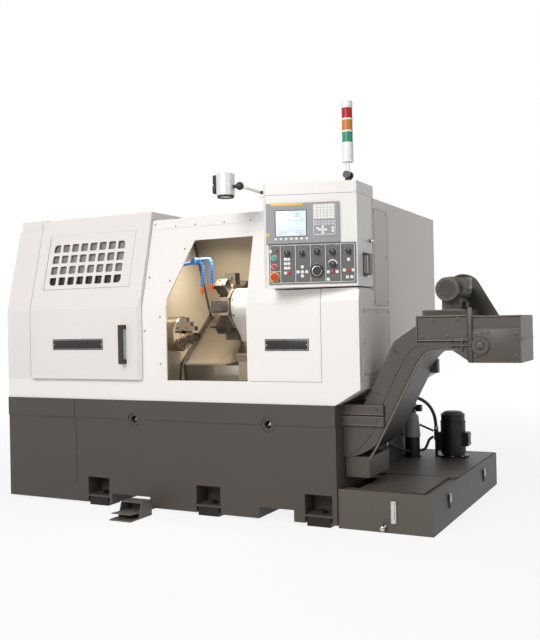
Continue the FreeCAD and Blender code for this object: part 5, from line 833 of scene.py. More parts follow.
# %% Keys of the control
DISPLAY_OUT, FIELD_OUT, SWITCH_OUT, KEY_SINK = 14, 16, 8, 0.5
KEY_LEFT, KEY_STEP, LETTERS_TOP, LINE_STEP = 274, 18.4, 436, 15.5


def key(wide=13.0, tall=13.0, high=3.4):
    """A key cap with rounded edges."""
    return block(wide, tall, high, 1.1)


soft_keys = [on_face(53.5 + 28.4 * count, 264, DISPLAY_OUT - KEY_SINK) for count in range(7)]
letter_keys = [on_face(KEY_LEFT + KEY_STEP * column, LETTERS_TOP - LINE_STEP * line, FIELD_OUT - KEY_SINK)
               for line in range(5) for column in range(6)]
cursor_keys = [on_face(across, up, FIELD_OUT - KEY_SINK) for across, up in
               ((311, 324), (311, 308), (311, 292), (295, 308), (327, 308), (366, 316), (366, 300),
                (283, 316))]
white_caps = repeat(key, soft_keys) + repeat(lambda: key(17.4, 14.4, 3), letter_keys)
white_caps += repeat(lambda: key(14.5, 13, 3), cursor_keys)
add_piece("white_keys", white_caps, key_white, "control_swing")
shift_keys = [(key(17, 12, 3), on_face(KEY_LEFT + KEY_STEP * column, up, FIELD_OUT - KEY_SINK))
              for column in range(6) for up in (352, 338)]
key_grey = finish("key_grey", (0.52, 0.53, 0.55), 0.42, depth=0.03, grain=900)
add_piece("grey_keys", shift_keys, key_grey, "control_swing")
add_piece("keypad_rim", ring(119, 166, 3, 5, 0.8), key_white, "control_swing",
          on_face(320, 364, FIELD_OUT))
strip = [(block(178, 12, 1.2, 0.5), on_face(116, 451, DISPLAY_OUT)),
         (block(17, 17, 1.2, 0.5), on_face(10, 288, DISPLAY_OUT))]
add_piece("display_strips", strip, mark_yellow, "control_swing")
print("keys on the display unit:", len(white_caps) + len(shift_keys))

# %% [markdown]
# ## Switch panel
# Below the screen a dark panel carries a white outline, white lines between its columns,
# scales round its knobs and square keys. The lines are very thin solids, because bump or
# colour alone would vanish from the exported shape.

# %% Lines of the switch panel
PANEL_MIDDLE, PANEL_WIDE, PANEL_TALL = (249, 127), 462, 208
COLUMNS = (76, 158, 240, 322, 404)


def on_panel(across, up, out=0):
    """A spot on the switch panel."""
    return on_face(across, up, SWITCH_OUT + out)


outline = [(ring(PANEL_WIDE, PANEL_TALL, 2.4, 12, 0.5), on_panel(*PANEL_MIDDLE))]
outline += [(block(2.2, PANEL_TALL - 2, 0.5), on_panel(across, PANEL_MIDDLE[1])) for across in COLUMNS]
outline.append((block(56, 2.2, 0.5), on_panel(47, 88)))


def scale_marks(across, up, radius, count, start, stop, long=4.0, wide=1.4):
    """Ticks round a knob from a start to a stop angle, in degrees from the right."""
    marks = []
    for step in range(count):
        spot = on_panel(across, up) @ turned(start + (stop - start) * step / (count - 1))
        marks.append((block(long, wide, 0.5), spot @ at(radius + long / 2, 0, 0)))
    return marks


def arc_band(radius, wide, start, stop, high=0.5, steps=24):
    """A flat band round an axis from a start to a stop angle, in degrees."""
    shape = bmesh.new()
    ends = [shape.verts.new((radius + offset, 0, 0)) for offset in (-wide / 2, wide / 2)]
    edge = shape.edges.new(ends)
    bmesh.ops.rotate(shape, verts=ends, cent=(0, 0, 0), matrix=turned(start))
    bmesh.ops.spin(shape, geom=ends + [edge], axis=(0, 0, 1), cent=(0, 0, 0),
                   angle=math.radians(stop - start), steps=steps)
    return thicken(shape, high)


def outward(name, across, up):
    """How far a part's top stands out from the control box's face."""
    top = seat(name, on_face(across, up, 200).translation, face.to_3x3() @ Vector((0, 0, -1)))
    return (face.inverted() @ top.translation).z


KNOBS = {"feed": (112, 186, 9), "rapid": (275, 191, 9), "speed": (360, 187, 11), "load": (360, 118, 7),
         "mode": (195, 183, 8), "power": (447, 188, 5)}
for across, up, count in KNOBS.values():
    outline += scale_marks(across, up, 21, count, -20, 200)
outline += scale_marks(275, 85, 41, 25, -100, 110, 5, 1.2)
outline.append((arc_band(25, 6, 10, 150), on_panel(360, 118)))
outline += [(letters(text, 8), on_panel(across, up, 0.3)) for text, across, up in
            (("0", 300, 222), ("1", 262, 222), ("50", 340, 222), ("100", 382, 222), ("0", 430, 216),
             ("1", 465, 216), ("0", 97, 216), ("2", 128, 216), ("1", 180, 214), ("3", 212, 214))]
add_piece("panel_lines", outline, mark_white, "control_swing")
print("ticks and lines:", len(outline))

# %% Keys and buttons of the switch panel
WHITE_KEYS = ((22, 198), (103, 153), (121, 153), (103, 129), (121, 129), (103, 105), (121, 105),
              (103, 78), (195, 109), (171, 82), (195, 82), (219, 82), (195, 60), (336, 78), (384, 78),
              (336, 38), (447, 143), (423, 85), (471, 85), (439, 48), (463, 48))
RED_KEYS = ((121, 78), (360, 78), (447, 85))

for name, spots, slot, look in (("panel_white_keys", WHITE_KEYS, "black_plastic", key_white),
                                ("panel_red_keys", RED_KEYS, "red_plastic", key_red)):
    caps = repeat(lambda: block(16.4, 16.4, 5, 1.4), [on_panel(*spot) for spot in spots])
    add_piece(name, caps, look, "control_swing")
dome = [(0, 5), (4, 4.6), (7, 3), (8, 0.6), (8, 0)]
add_piece("red_light", spun(dome, 24), lens_red, "control_swing", on_panel(57, 198))
collar = spun([(27, 0), (27, 2.4), (26, 3), (21.5, 3), (21.5, 0), (27, 0)], 40)
add_piece("stop_ring", collar, mark_yellow, "control_swing", on_panel(41, 58))
bezels = [(spun([(15.5, 0), (15.5, 2.5), (14.7, 3.2), (12.5, 3.2), (12.5, 0), (15.5, 0)], 32),
           on_panel(41, up)) for up in (162, 115)]
add_piece("button_bezels", bezels, bright_screw, "control_swing")
skirts = [(spun([(18, 0), (18, 1.2), (17, 2), (0, 2)], 32), on_panel(across, up))
          for across, up, _ in (KNOBS["feed"], KNOBS["rapid"], KNOBS["speed"], KNOBS["load"])]
add_piece("knob_skirts", skirts, black_plastic, "control_swing")
print("keys on the switch panel:", len(WHITE_KEYS) + len(RED_KEYS))

# %% Knob marks
for name, body in (("mode", "mode_knob"), ("power", "power_knob")):
    across, up, _ = KNOBS[name]
    height = outward(name + "_selector", across, up)
    add_piece(name + "_pointer", block(1.8, 11, 0.6), mark_white, body,
              on_face(across, up + 6, height))
    print(name, "knob is", round(height - SWITCH_OUT, 1), "mm high")

# %% [markdown]
# ## Smooth lines
# Hoses and pressed ribs follow a smooth line through a few chosen points. A NURBS curve of
# order three lays that line. Its points, read back from the curve, carry beads or ribs at
# equal steps, so only the chosen points are ever written down.

# %% Smooth lines
def nurbs_curve(name, route, radius=0.0):
    """A curve of one open spline through a route."""
    curve = bpy.data.curves.new(name, "CURVE")
    curve.dimensions = "3D"
    curve.resolution_u = 16
    curve.bevel_depth = radius
    curve.bevel_resolution = 5
    curve.use_fill_caps = radius > 0
    spline = curve.splines.new("NURBS")
    spline.points.add(len(route) - 1)
    for point, spot in zip(spline.points, route):
        point.co = (*spot, 1)
    spline.order_u = 3
    spline.use_endpoint_u = True
    return new_object(name, curve)


def smooth_line(route):
    """The points of the smooth line through a route in millimetres."""
    mesh = mesh_of(nurbs_curve("smooth_line", route))
    points = [vertex.co.copy() for vertex in mesh.vertices]
    bpy.data.meshes.remove(mesh)
    return points


def along(points, step, start=0.0):
    """Frames at equal steps along a line of points, z along the line."""
    places = []
    walked, due = 0.0, start
    for here, there in zip(points, points[1:]):
        reach = (there - here).length
        while reach and due <= walked + reach:
            spot = here.lerp(there, (due - walked) / reach)
            places.append(at(*spot) @ towards(there - here))
            due += step
        walked += reach
    return places


def tube(route, radius):
    """A round tube along the smooth line through a route in millimetres."""
    return shape_of(mesh_of(nurbs_curve("tube", route, radius)))


def ribbon(route, wide, high):
    """A flat strip with square edges along a smooth line in the plane of a face."""
    points = smooth_line([(x, y, 0) for x, y in route])
    shape = bmesh.new()
    sides = []
    for half in (-wide / 2, wide / 2):
        spots = []
        for count, point in enumerate(points):
            ahead = points[min(count + 1, len(points) - 1)] - points[max(count - 1, 0)]
            spots.append(shape.verts.new(point + Vector((-ahead.y, ahead.x, 0)).normalized() * half))
        sides += [shape.edges.new(pair) for pair in zip(spots, spots[1:])]
    bmesh.ops.bridge_loops(shape, edges=sides)
    return thicken(shape, high)


# %% [markdown]
# ## Hoses
# The return hose is a free rubber hose from the base to the pump's tee, so it is a curve of
# its own. The other black lines are stiff pipes. The blue line over the chuck is a chain of
# ball joints that holds its shape; one bead, repeated along the line, makes it.

# %% Black hose and pipes
RETURN_HOSE = [(0.7013, 0.5765, 0.622), (0.763, 0.5765, 0.621), (0.819, 0.5865, 0.607),
               (0.864, 0.6045, 0.572), (0.892, 0.6225, 0.520), (0.904, 0.6345, 0.462),
               (0.906, 0.6385, 0.4032)]
HOSE_LENGTH, HOSE_RADIUS = 0.359, 0.011

hose_black = finish("hose_black", (0.017, 0.016, 0.016), 0.48, depth=0.15, cloud=30, grain=500,
                    relief=0.35)
return_hose = nurbs_curve("return_hose", RETURN_HOSE, HOSE_RADIUS)
return_hose.data.materials.append(hose_black)
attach(return_hose, "machine")
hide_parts("coolant_lines")

LINK_PIPE = [(104.1, 1219.4, 433), (188.2, 1254.9, 390)]
ELBOW = [(108.5, 1214.3, 262), (134, 1227.5, 263.5), (150, 1239, 300), (160, 1247, 336),
         (187.8, 1256.8, 352)]
SUCTION_LINE = [(0.3, 830, 345), (40, 832, 344), (54, 870, 331), (54, 1040, 279), (54, 1148, 262)]
pipes = [(tube(ELBOW, 9), HERE), (tube(SUCTION_LINE, 8), HERE)]
pipe_way = Vector(LINK_PIPE[1]) - Vector(LINK_PIPE[0])
link = spun([(0, 0), (7, 0), (7, pipe_way.length), (0, pipe_way.length)], 20)
pipes.append((link, at(*LINK_PIPE[0]) @ towards(pipe_way)))
add_piece("black_pipes", pipes, hose_black)
nut = [(0, 0), (14, 0), (16.5, 2), (16.5, 12), (14, 14), (13, 14), (13, 22), (11.2, 22)]
glands = [(spun(nut, 6), side(0.3, y, z)) for y, z in ((1200, 622), (830, 345))]
glands.append((spun([(11.3, 0), (14, 0), (14.5, 2), (14.5, 17), (11.3, 18)], 24), at(205, 1262, 402)))
add_piece("hose_glands", glands, zinc)
print("the return hose is", HOSE_LENGTH, "m long")

# %% Blue jointed line
FAR_BRANCH = [(-1240, 250, 1505), (-1100, 250, 1522), (-1030, 250, 1529), (-985, 250, 1530),
              (-981, 250, 1490), (-981, 250, 1440), (-992, 250, 1362)]
NEAR_BRANCH = [(-1040, 250, 1541), (-965, 250, 1543), (-926, 250, 1543), (-919, 250, 1500),
               (-916, 250, 1445), (-921, 250, 1378)]
BEAD_STEP = 17.0

bead = [(0, -9), (6.5, -9), (9.4, -8), (11.6, -4.5), (12.4, 0), (12, 3.5), (9.2, 6.4), (8, 8.6), (0, 8.6)]
beads = []
for route in (FAR_BRANCH, NEAR_BRANCH):
    beads += along(smooth_line(route), BEAD_STEP, BEAD_STEP / 2)
add_piece("hose_beads", repeat(lambda: spun(bead, 20), beads), hose_blue,
          stands_for=("coolant_hose",))
sockets = [(block(50, 50, 40, 4), side(-1270, 250, 1505)),
           (block(30, 46, 30, 5), front(-1040, 265, 1534))]
add_piece("hose_sockets", sockets, hose_blue)
tip = [(4.6, 0), (5.6, 0), (6.4, 10), (9, 26), (13.2, 34), (13.8, 38), (13.8, 51), (11, 52), (4.6, 52),
       (4.6, 0)]
tips = [at(x, 250, z + 8 - 52) for x, z in ((-992, 1362), (-921, 1378))]
add_piece("hose_nozzles", repeat(lambda: spun(tip, 24), tips), nozzle_orange)
print("beads in the blue line:", len(beads))

# %% [markdown]
# ## Chuck and turret
# The screws of the chuck and of the turret stand on circles about the two axes. A frame on
# such a circle is worked out from the axis, a radius and an angle, so a loop places them all.

# %% Screws of the chuck
CHUCK_FACE, JAW_RISE = -1152, 95
SOCKETS_AT, SOCKET_RADIUS = -1205, 111.5
JAW_BODIES = ("jaw_one", "jaw_two", "jaw_three")


def around(x, axis, radius, angles):
    """Frames on a face square to the spindle, at angles from the top towards the operator."""
    return [side(x, *axis[1:]) @ turned(angle) @ at(0, radius, 0) for angle in angles]


def spoke(x, axis, radius, angle, across=0):
    """A frame that looks away from an axis at a radius, in the same angles."""
    return at(x, *axis[1:]) @ turned(angle, "X") @ at(0, across, radius)


face_screws = around(CHUCK_FACE, SPINDLE_AXIS, 78, (60, 180, 300))
face_ring = [(spun([(36, 0), (36, 2.2), (34.5, 3), (31, 3), (31, 0), (36, 0)], 48),
              side(CHUCK_FACE, *SPINDLE_AXIS[1:]))]
add_piece("chuck_screws", repeat(lambda: socket_screw(9, 5), face_screws) + face_ring,
          screw_steel, "spindle_set")
profile = [(0, 0.6), (6, 0.6), (6.4, 2.4), (11, 2.4), (12, 1.4), (12, -3), (0, -3)]
rim_sockets = repeat(lambda: spun(profile, 24), [spoke(SOCKETS_AT, SPINDLE_AXIS, SOCKET_RADIUS, angle)
                                                 for angle in (60, 180, 300)])
add_piece("chuck_sockets", rim_sockets, milled_steel, "spindle_set")
for body, angle in zip(JAW_BODIES, (0, 120, 240)):
    steps_of_jaw = ((62, CHUCK_FACE + 2 * JAW_RISE / 3), (90, CHUCK_FACE + JAW_RISE / 3))
    spots = [around(x, SPINDLE_AXIS, radius, (angle,))[0] for radius, x in steps_of_jaw]
    add_sockets(body + "_screws", spots, 8, 3.4, body)
print("screws on the chuck:", len(face_screws) + 2 * len(JAW_BODIES))

# %% Screws and marks of the turret
HUB_FACE, DISC_RIGHT, HOLDER_TOP = -926, -858, 215

disc_screws = around(DISC_RIGHT, TURRET_AXIS, 124, [22.5 + 45 * count for count in range(8)])
disc_ring = [(spun([(119, 0), (119, 1.2), (118, 2), (116.6, 2), (116.6, 0), (119, 0)], 96),
              side(DISC_RIGHT, *TURRET_AXIS[1:]))]
hub_screws = [spot @ turned(180, "Y") for spot in
              around(HUB_FACE, TURRET_AXIS, 76, [45 * count for count in range(8)])]
parts = repeat(lambda: socket_screw(6.5, 5), disc_screws + hub_screws)
add_piece("turret_screws", parts + disc_ring, screw_steel, "turret")
holder_screws = [spoke(x, TURRET_AXIS, HOLDER_TOP, 45 * count, across) for count in range(8)
                 for x, across in ((-874, 19), (-874, -19), (-909, 19))]
add_sockets("holder_screws", holder_screws, 6, 4.5, "turret")
print("screws on the turret:", len(parts) + len(holder_screws))

# %% Turret cap and seams of the work area
case_bolts = [seat("turret_housing", (x, -200, z), (0, 1, 0)) for x, z in ((-836, 1190), (-836, 1290))]
add_sockets("case_screws", case_bolts, 6, 4, "turret_carrier")
WALL_FACE = -1270
corner_line = ((607, 1712), (812, 1201), (427, 876), (411, 771))
strips = []
for here, there in zip(corner_line, corner_line[1:]):
    way = Vector((there[0] - here[0], there[1] - here[1], 0))
    middle = ((here[0] + there[0]) / 2, (here[1] + there[1]) / 2)
    turn = Matrix.Rotation(math.atan2(way.y, way.x), 4, "Z")
    strips.append((block(way.length + 20, 26, 3, 1), side(WALL_FACE, *middle) @ turn))
add_piece("corner_strips", strips, charcoal)
print("the corner strips stand on x", WALL_FACE, "mm")

# %% [markdown]
# ## Chip conveyor
# The folded casing has pressed ribs along its edge, a bolted side panel at the head, a
# bearing with a take-up bolt, and a geared motor with a pierced fan cover. The ribs follow
# the casing, so they are ribbons along a smooth line through a few points of its edge.

# %% Ribs of the trough
TROUGH_SIDE, HEAD_SIDE, HEAD_SHAFT = 120, 112, (775, 995)

EDGE_LINE = ((150, 375), (172, 396), (262, 568), (352, 741), (430, 890), (478, 962), (560, 974),
             (655, 974))
INNER_LINE = ((14, 363), (65, 389), (140, 463), (200, 548), (239, 672), (300, 795), (372, 925),
              (405, 975), (455, 990), (505, 990))

casing = front(0, TROUGH_SIDE, 0)
# The ribs take a lighter grey than the casing: painted highlight on their raised edges.
ribs = [(ribbon(EDGE_LINE, 9, 3), casing), (ribbon(INNER_LINE, 4, 2.4), casing)]
seams = [(block(46, 1.6, 0.8), front(319, TROUGH_SIDE, 962) @ turned(-37)),
         (block(66, 1.6, 0.8), front(200, TROUGH_SIDE, 737) @ turned(-11)),
         (block(5, 56, 3, 1), front(243, TROUGH_SIDE, 640))]
add_piece("trough_ribs", ribs, rib_highlight_grey)
# Near-black lines beside the ribs are painted shadow of the ribs; the seams added with them are dark
# joints.
painted_shadows = [(ribbon([(x - left, z + up) for x, z in line], 3, 1), casing)
          for line, left, up in ((EDGE_LINE, 8, 4), (INNER_LINE, 5, 3))]
add_piece("trough_rib_shadows", painted_shadows + seams, seam_and_shade_black)
# The bars' rims take the same lighter grey: painted highlight.
bar_rims = [(block(242, 5, 2.4, 0.5), front(121.5, 100, z)) for z in (667, 620, 606, 560)]
add_piece("bar_rims", bar_rims, rib_highlight_grey)
bolt_spots = [from_front("conveyor_trough", x, z) for x, z in
              ((304, 974), (207, 738), (307, 832), (170, 745), (357, 1048), (440, 893),
               (14, 644), (203, 648), (14, 583), (203, 583))]
add_screws("trough_bolts", bolt_spots, 7, 4.5, dark_screw)
print("bolts on the trough:", len(bolt_spots))

# %% Head of the conveyor
def slabs(table, out=HEAD_SIDE):
    """Blocks on the operator's side, from rows of x, z, width, height, thickness and edge."""
    return [(block(*size), front(x, out, z)) for x, z, *size in table]


bearing = [(48, 0), (48, 12), (45, 15), (23, 15), (21, 12), (21, 16), (17, 18), (0, 18), (0, 0)]
bearing_rim = [(50, 0), (50, 10), (48.6, 11), (48, 10), (48, 0), (50, 0)]
plates = slabs([(859.5, 994.5, 236, 172, 4, 1.5), (722, 1050, 21, 288, 4, 0.8),
                (732, 1050, 4, 288, 15, 0.8), (757, 1002, 56, 132, 7, 3)])
plates += slabs([(678, 1002, 9, 74, 12, 1)], TROUGH_SIDE)
plates += [(block(6, 356, 4, 1), side(980, 290, 1028) @ turned(90)),
           (spun(bearing, 64), front(HEAD_SHAFT[0], HEAD_SIDE, HEAD_SHAFT[1]))]
add_piece("head_plates", plates, conveyor_grey)
# The head's rims take a lighter grey than the casing: painted highlight.
rims = slabs([(572, 1152, 278, 7, 5, 1), (572, 1023, 278, 6, 7, 1), (851, 1146, 252, 6, 5, 1),
              (435, 1088, 6, 128, 4, 1)])
rims += [(ring(238, 174, 3, 3, 4.6), front(859.5, HEAD_SIDE, 994.5)),
         (block(216, 5, 4, 1), front(580, 131, 1184)),
         (spun(bearing_rim, 64), front(HEAD_SHAFT[0], HEAD_SIDE, HEAD_SHAFT[1]))]
add_piece("head_rims", rims, rib_highlight_grey)
# Near-black lines under the rims: painted shadow of the rims.
painted_shadows = slabs([(572, 1146, 278, 3, 1, 0.3), (572, 1018, 278, 3, 1, 0.3), (851, 1141, 252, 2.5, 1, 0.3),
                (441, 1086, 2.5, 120, 1, 0.3), (709, 1050, 3, 280, 1, 0.3)])
add_piece("head_rim_shadows", painted_shadows, seam_and_shade_black)
take_up = []
for z in (1030, 997):
    for radius, long, x, steps in ((5, 92, 622, 16), (9, 9, 624, 6), (9, 9, 686, 6)):
        rod = spun([(0, 0), (radius, 0), (radius, long), (0, long)], steps)
        take_up.append((rod, at(x, 108, z) @ lying))
add_piece("take_up_rods", take_up, dark_screw)
head_bolts = [from_front("conveyor_hood", x, z) for x, z in
              ((524, 1130), (658, 1135), (465, 1043), (600, 1043))]
head_bolts += [front(x, HEAD_SIDE - out, z) for x, z, out in
               ((958, 1053, 4), (958, 943, 4), (815, 1062, 4), (752, 1053, 7), (752, 941, 7))]
add_piece("head_bolts", repeat(lambda: hex_bolt(15, 5), head_bolts), dark_screw)
print("bolts on the head:", len(head_bolts))

# %% Drive of the conveyor
DRIVE, GUARD_FACE, GUARD_RADIUS = (600, 1295), 469, 90
FAN_FACE, HOLE_PITCH, HOLE_FIELD = 130, 10.6, 47
FINS, FIN_RADIUS, FIN_LONG, FINS_MIDDLE = 26, 67, 190, 295

# The holes are near-black squares on the fan cover, not openings: painted shade for the dark behind them.
holes = []
reach = int(HOLE_FIELD // HOLE_PITCH)
steps = range(-reach, reach + 1)
for across, up in [(column * HOLE_PITCH, line * HOLE_PITCH) for column in steps for line in steps]:
    if math.hypot(across, up) <= HOLE_FIELD:
        holes.append((block(6.6, 6.6, 0.5), front(DRIVE[0] + across, FAN_FACE, DRIVE[1] + up)))
add_piece("fan_holes", holes, seam_and_shade_black)
motor_shell = [(spun([(60, -3), (64.5, -3), (63, 1.4), (58, 2.6), (52, 2.8), (52, 0), (60, -3)], 64),
                front(DRIVE[0], FAN_FACE, DRIVE[1]))]
for count in range(FINS):
    turn = turned(-30 + 240 * count / (FINS - 1))
    motor_shell.append((block(6, 2.2, FIN_LONG, 0.6), front(DRIVE[0], FINS_MIDDLE, DRIVE[1])
                        @ turn @ at(FIN_RADIUS, 0, -FIN_LONG / 2)))
motor_shell.append((block(70, 60, 8, 2), side(692, 236, 1325)))
motor_shell.append((spun([(0, 0), (11, 0), (11, 14), (8, 18), (0, 18)], 6), side(692, 225, 1279) @ lying))
add_piece("motor_shell", motor_shell, motor_grey)
lid_screws = [side(700, 236 + across, 1325 + up) for across in (-28, 28) for up in (-23, 23)]
add_screws("motor_screws", lid_screws, 4, 2.4, bright_screw, 10)
run = (HEAD_SHAFT[0] - DRIVE[0], HEAD_SHAFT[1] - DRIVE[1])
guard_middle = front(DRIVE[0] + run[0] / 2, GUARD_FACE, DRIVE[1] + run[1] / 2)
lean = Matrix.Rotation(math.atan2(run[1], run[0]), 4, "Z")
guard_edge = [(arc_band(GUARD_RADIUS, 8, start, start + 180, 3, 32), front(x, GUARD_FACE, z))
              for start, (x, z) in ((30.3, DRIVE), (210.3, HEAD_SHAFT))]
guard_edge += [(block(347, 8, 3), guard_middle @ lean @ at(0, sign * GUARD_RADIUS, 0))
               for sign in (-1, 1)]
add_piece("guard_edge", guard_edge, conveyor_grey)
feet = [(block(18, 42, 60, 3), front(DRIVE[0] + offset, 345, 1208)) for offset in (-58, 58)]
add_piece("motor_feet", feet, motor_grey)
print("holes in the fan cover:", len(holes))

# %% [markdown]
# ## Coolant tank
# The tank carries a motor pump with a cast cap, a filter with a grey bowl, a level
# gauge behind a clear tube and a drain valve. Each is turned or cut from a simple profile,
# so spun rings and rounded blocks give their rims, glass and bolts.

# %% Filter and pump
PUMP, FILTER = (312, 1290), (58, 1200)

bowl = [(54.6, 355), (55.2, 357), (55.2, 362)]
for rib in range(9):
    low = 366 + rib * 13
    radius = 54.8 - 1.1 * rib
    bowl += [(radius - 1.2, low), (radius - 0.2, low + 3), (radius - 0.2, low + 8),
             (radius - 1.2, low + 11)]
bowl += [(44, 488), (41, 498), (38, 501), (20.4, 502), (20.4, 515)]
add_piece("filter_bowl", spun([(0, 355), *bowl, (0, 515)], 48), bowl_grey,
          place=at(*FILTER, 0))
rims = [(spun([(radius, low), (radius + 2.2, low + 0.6), (radius + 2.2, low + high - 0.6),
               (radius, low + high), (radius - 4, low + high), (radius - 4, low), (radius, low)], 64),
         at(*PUMP, 0)) for radius, low, high in
        ((82, 248, 7), (82, 451, 8), (78, 497, 7), (99, 221, 10))]
rims.append((spun([(0, 519), (57, 519), (50, 523), (24, 526), (0, 527)], 48), at(*PUMP, 0)))
rims.append((block(72, 84, 5, 2), side(417, 1290, 341)))
add_piece("pump_shell", rims, pump_black)
bolts = [at(PUMP[0] + radius * math.cos(turn), PUMP[1] + radius * math.sin(turn), height)
         for radius, height, start, step in ((90, 232, 10, 45), (68, 504, 45, 90))
         for turn in [math.radians(angle) for angle in range(start, start + 360, step)]]
bolts += [side(422, 1290 + across, 341 + up) for across in (-35, 35) for up in (-29, 29)]
add_screws("pump_bolts", bolts, 5, 3.4, bright_screw)
print("bolts on the pump:", len(bolts))

# %% Gauge, drain and latches
TAP_TURN = 0.9

gauge_spot = from_front("coolant_tank", 320, 113)
gauge = [(block(30, 118, 2, 0.8), gauge_spot)]
gauge += repeat(lambda: block(24, 16, 8, 2), [gauge_spot @ at(0, up, 1) for up in (51, -51)])
add_piece("gauge_plate", gauge, bright_screw)
gauge_glass = finish("gauge_glass", (0.72, 0.72, 0.68), 0.10, cloud=30, depth=0.05, relief=0.02, coat=0.5)
tube_place = gauge_spot @ at(0, -43, 5) @ turned(-90, "X")
add_piece("gauge_tube", spun([(0, 0), (5.5, 0), (5.5, 86), (0, 86)], 24), gauge_glass,
          place=tube_place)
drain_spot = from_front("coolant_tank", 263, 26)
drain = [(spun([(13, 0), (13, 4), (11, 5), (6, 5), (6, 1.5), (0, 1.5)], 24), drain_spot),
         (block(30, 7, 5, 1.5), drain_spot @ at(12, 10, 0) @ Matrix.Rotation(TAP_TURN, 4, "Z"))]
add_piece("drain_tap", drain, bright_screw)
latches = []
for y in (320, 1160):
    spot = from_right("coolant_tank", y, 150)
    latches += [(block(24, 48, 2.4, 1), spot), (block(13, 30, 5, 2), spot @ at(0, -4, 2)),
                (ring(17, 22, 3, 6, 3), spot @ at(0, 14, 2))]
add_piece("tank_latches", latches, zinc)
print("the gauge stands at", [round(value) for value in gauge_spot.translation])

# %% [markdown]
# ## Knobs, handwheel and lock
# The knobs are fluted black caps. Flutes are small ribs set round a turned cap, because at
# this size a rib reads as a flute. The handwheel has a bright rim with a mark at every step,
# and the box's lock is a small turned barrel with its slot.

# %% Knob caps
KNOB_RADIUS, KNOB_HIGH, FLUTES = 15.4, 22.4, 18

for name in ("feed", "rapid", "speed", "load"):
    across, up, _ = KNOBS[name]
    cap = [(spun([(0, 0), (KNOB_RADIUS + 1, 0), (KNOB_RADIUS + 1, 5), (KNOB_RADIUS, 6),
                  (KNOB_RADIUS - 0.3, 21.6), (KNOB_RADIUS - 1.4, KNOB_HIGH), (0, KNOB_HIGH)], 36),
            HERE)]
    for count in range(FLUTES):
        turn = turned(360 * count / FLUTES)
        cap.append((block(1.4, 2, 14.5, 0.5, 1), turn @ at(KNOB_RADIUS + 0.1, 0, 6)))
    cap.append((block(2, 12, 0.5), at(0, 7, KNOB_HIGH)))
    add_piece(name + "_cap", cap, black_plastic, "control_swing", on_panel(across, up))
    add_piece(name + "_line", block(1.8, 11, 0.5), mark_white, "control_swing",
              on_panel(across, up + 7, KNOB_HIGH + 0.4))
print("flutes on a knob:", FLUTES)

# %% Handwheel rim and lock
WHEEL, WHEEL_STEPS = (275, 85), 50

dial = spun([(37.4, 0), (45.6, 0), (45.6, 1.0), (45, 1.4), (38, 1.4), (37.4, 1.0), (37.4, 0)], 64)
add_piece("wheel_dial", dial, black_plastic, "control_swing", on_panel(*WHEEL))
marks = []
for count in range(WHEEL_STEPS):
    turn = turned(360 * count / WHEEL_STEPS)
    long = 5.5 if count % 10 == 0 else 3.4
    marks.append((block(long, 1.5, 0.4), turn @ at(41.4, 0, 1.3)))
add_piece("dial_marks", marks, mark_white, "control_swing", on_panel(*WHEEL))
wheel_out = outward("handwheel", WHEEL[0] - 12, WHEEL[1] - 12)
rim = spun([(27, 0), (27, 0.8), (26, 1.3), (24.6, 1.3), (24, 0.8), (24, 0)], 64)
add_piece("wheel_rim", rim, bright_screw, "pulse_wheel", on_face(*WHEEL, wheel_out))
lock_spot = from_right("control_box", 195, 1584)
lock = [(spun([(0, 0), (11, 0), (11, 2), (9.6, 3), (9.2, 11), (8, 13), (0, 13)], 32), lock_spot),
        (block(2.2, 11, 1, 0.3), lock_spot @ at(0, 0, 12.6))]
add_piece("box_lock", lock, bright_screw, "control_swing")
print("the handwheel's face lies", round(wheel_out, 1), "mm from the box's face")

# %% [markdown]
# ## Seams between the covers
# Sheet covers meet in narrow gaps that read as fine dark lines. The gaps are far thinner
# than the sheets, so a low strip in a dull grey draws each line without cutting the model.
# On the door, the lines along its left edge and along the bottom and sides of its recess are
# painted shade of these edges.

# %% Seams
SEAM, SEAM_HIGH, LEAN = 2.6, 0.5, 14.4
KNEE, SIDE_PLATES = 1250, 153

sheet_tilt = turned(-LEAN, "X")


def leaning(x, z, out):
    """A frame on the front sheets, which lean back above their knee."""
    if z <= KNEE:
        return front(x, -out, z)
    back = (z - KNEE) * math.tan(math.radians(LEAN))
    return at(x, back - out, z) @ sheet_tilt @ upright


def upright_dark_line(x, low, high, out=0.0):
    """A dark line that climbs the front and bends with it at the knee: a seam, or painted shade along an
    edge.
    """
    parts = []
    for start, stop in ((low, min(high, KNEE)), (max(low, KNEE), high)):
        if stop > start:
            long = (stop - start) / (1 if stop <= KNEE else math.cos(math.radians(LEAN)))
            parts.append((block(SEAM, long, SEAM_HIGH), leaning(x, (start + stop) / 2 + 0.001, out)))
    return parts


# Grey lines on the door's face along its left edge and along the bottom and sides of its recess: painted
# shade of these edges.
door_edge_shades = upright_dark_line(-2155, 806, 1846, 30)
recess_low, recess_high, recess_left, recess_right = 1380, 1742, -2070, -1373
middle_x = (recess_left + recess_right) / 2
door_edge_shades.append((block(recess_right - recess_left, SEAM, SEAM_HIGH),
                   leaning(middle_x, recess_low + 2, 28)))
for x in (recess_left + 2, recess_right - 2):
    door_edge_shades += upright_dark_line(x, recess_low, recess_high, 28)
add_piece("door_edge_shades", door_edge_shades, seam_and_shade_grey, "door")
cover_seams = upright_dark_line(-75, 801, 1322) + [(block(450, SEAM, SEAM_HIGH), front(-300, 0, 801))]
add_piece("cover_seams", cover_seams, seam_and_shade_grey)
side_seams = [(ring(wide, tall, SEAM, 3, SEAM_HIGH), side(SIDE_PLATES, y, z))
              for wide, tall, y, z in ((233, 553, 378.5, 1498.5), (440, 362, 275, 1019))]
add_piece("side_seams", side_seams, seam_and_shade_grey)
print("the seams are", SEAM, "mm wide")

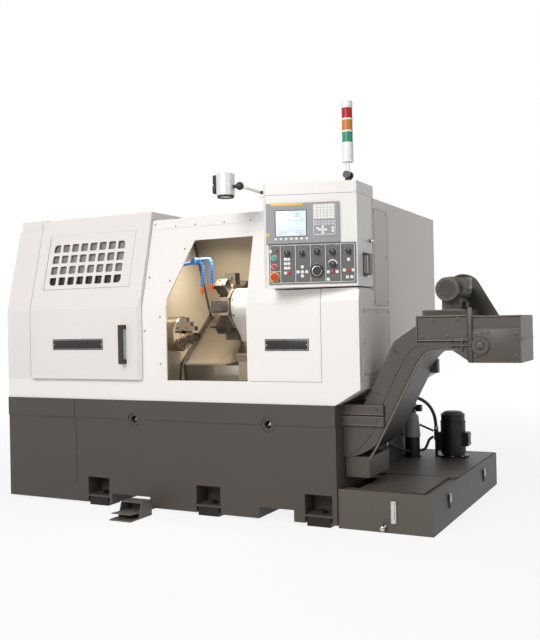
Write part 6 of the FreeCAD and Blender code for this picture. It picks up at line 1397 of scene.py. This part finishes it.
# %% [markdown]
# ## Rear cabinet
# The electrical cabinet hangs on the back. Its door has two rows of pressed louvres and
# screws along both sides, as the doors of such cabinets have. A louvre is a half round hood,
# which a bevel makes from a block.

# %% Louvres and screws
leaf_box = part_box("cabinet_door")
low_corner, high_corner = [row.inverted() @ Vector(corner) for corner in leaf_box]


def from_rear(name, x, z):
    """Seat something on a face that looks away from the operator."""
    return seat(name, (x, 2400, z), (0, -1, 0))


def louvre():
    """A pressed hood over a slot."""
    shape = block(180, 16, 9, 0)
    rim = [edge for edge in shape.edges if all(spot.co.z > 8 for spot in edge.verts)]
    bmesh.ops.bevel(shape, geom=rim, offset=7.5, affect="EDGES", segments=4, profile=0.5, material=-1)
    return shape


centre_x = (low_corner.x + high_corner.x) / 2
rows = [from_rear("cabinet_door", centre_x + offset, 860 + 34 * count)
        for offset in (-330, 330) for count in range(7)]
add_piece("door_louvres", repeat(louvre, rows), cream_paint, "cabinet_leaf")
edge = [(x, z) for x in (low_corner.x + 24, high_corner.x - 24) for z in (800, 1100, 1400, 1700)]
spots = [from_rear("cabinet_door", x, z) for x, z in edge]
add_screws("leaf_screws", spots, 7, 3.5, body="cabinet_leaf")
print("louvres:", len(rows), "on a door", round(high_corner.x - low_corner.x), "mm wide")

# %% [markdown]
# ## Lifting points
# Two bores in the base take the bars that lift the machine. Each has a bright stop screw
# inside and a scribed circle round it.

# %% Lifting points
BARS, BAR_HEIGHT, BORE = (-1350, -415), 555, 21

stops, circles = [], []
for x in BARS:
    stops.append((hex_bolt(22, 9), front(x + 4, 34, BAR_HEIGHT + 1)))
    stops.append((block(26, 5, 5, 1.5), front(x - 2, 20, BAR_HEIGHT - 4) @ turned(24)))
    circles.append((arc_band(42, 2.6, 182, 358, 0.8, 32), front(x, 0, BAR_HEIGHT)))
    circles.append((spun([(BORE, 0), (BORE + 2, 0), (BORE + 2, 0.9), (BORE, 0.9), (BORE, 0)], 40),
                    front(x, 0, BAR_HEIGHT)))
add_piece("bar_stops", stops, bright_screw)
add_piece("bar_circles", circles, seam_and_shade_black)
print("lifting bores:", len(BARS))
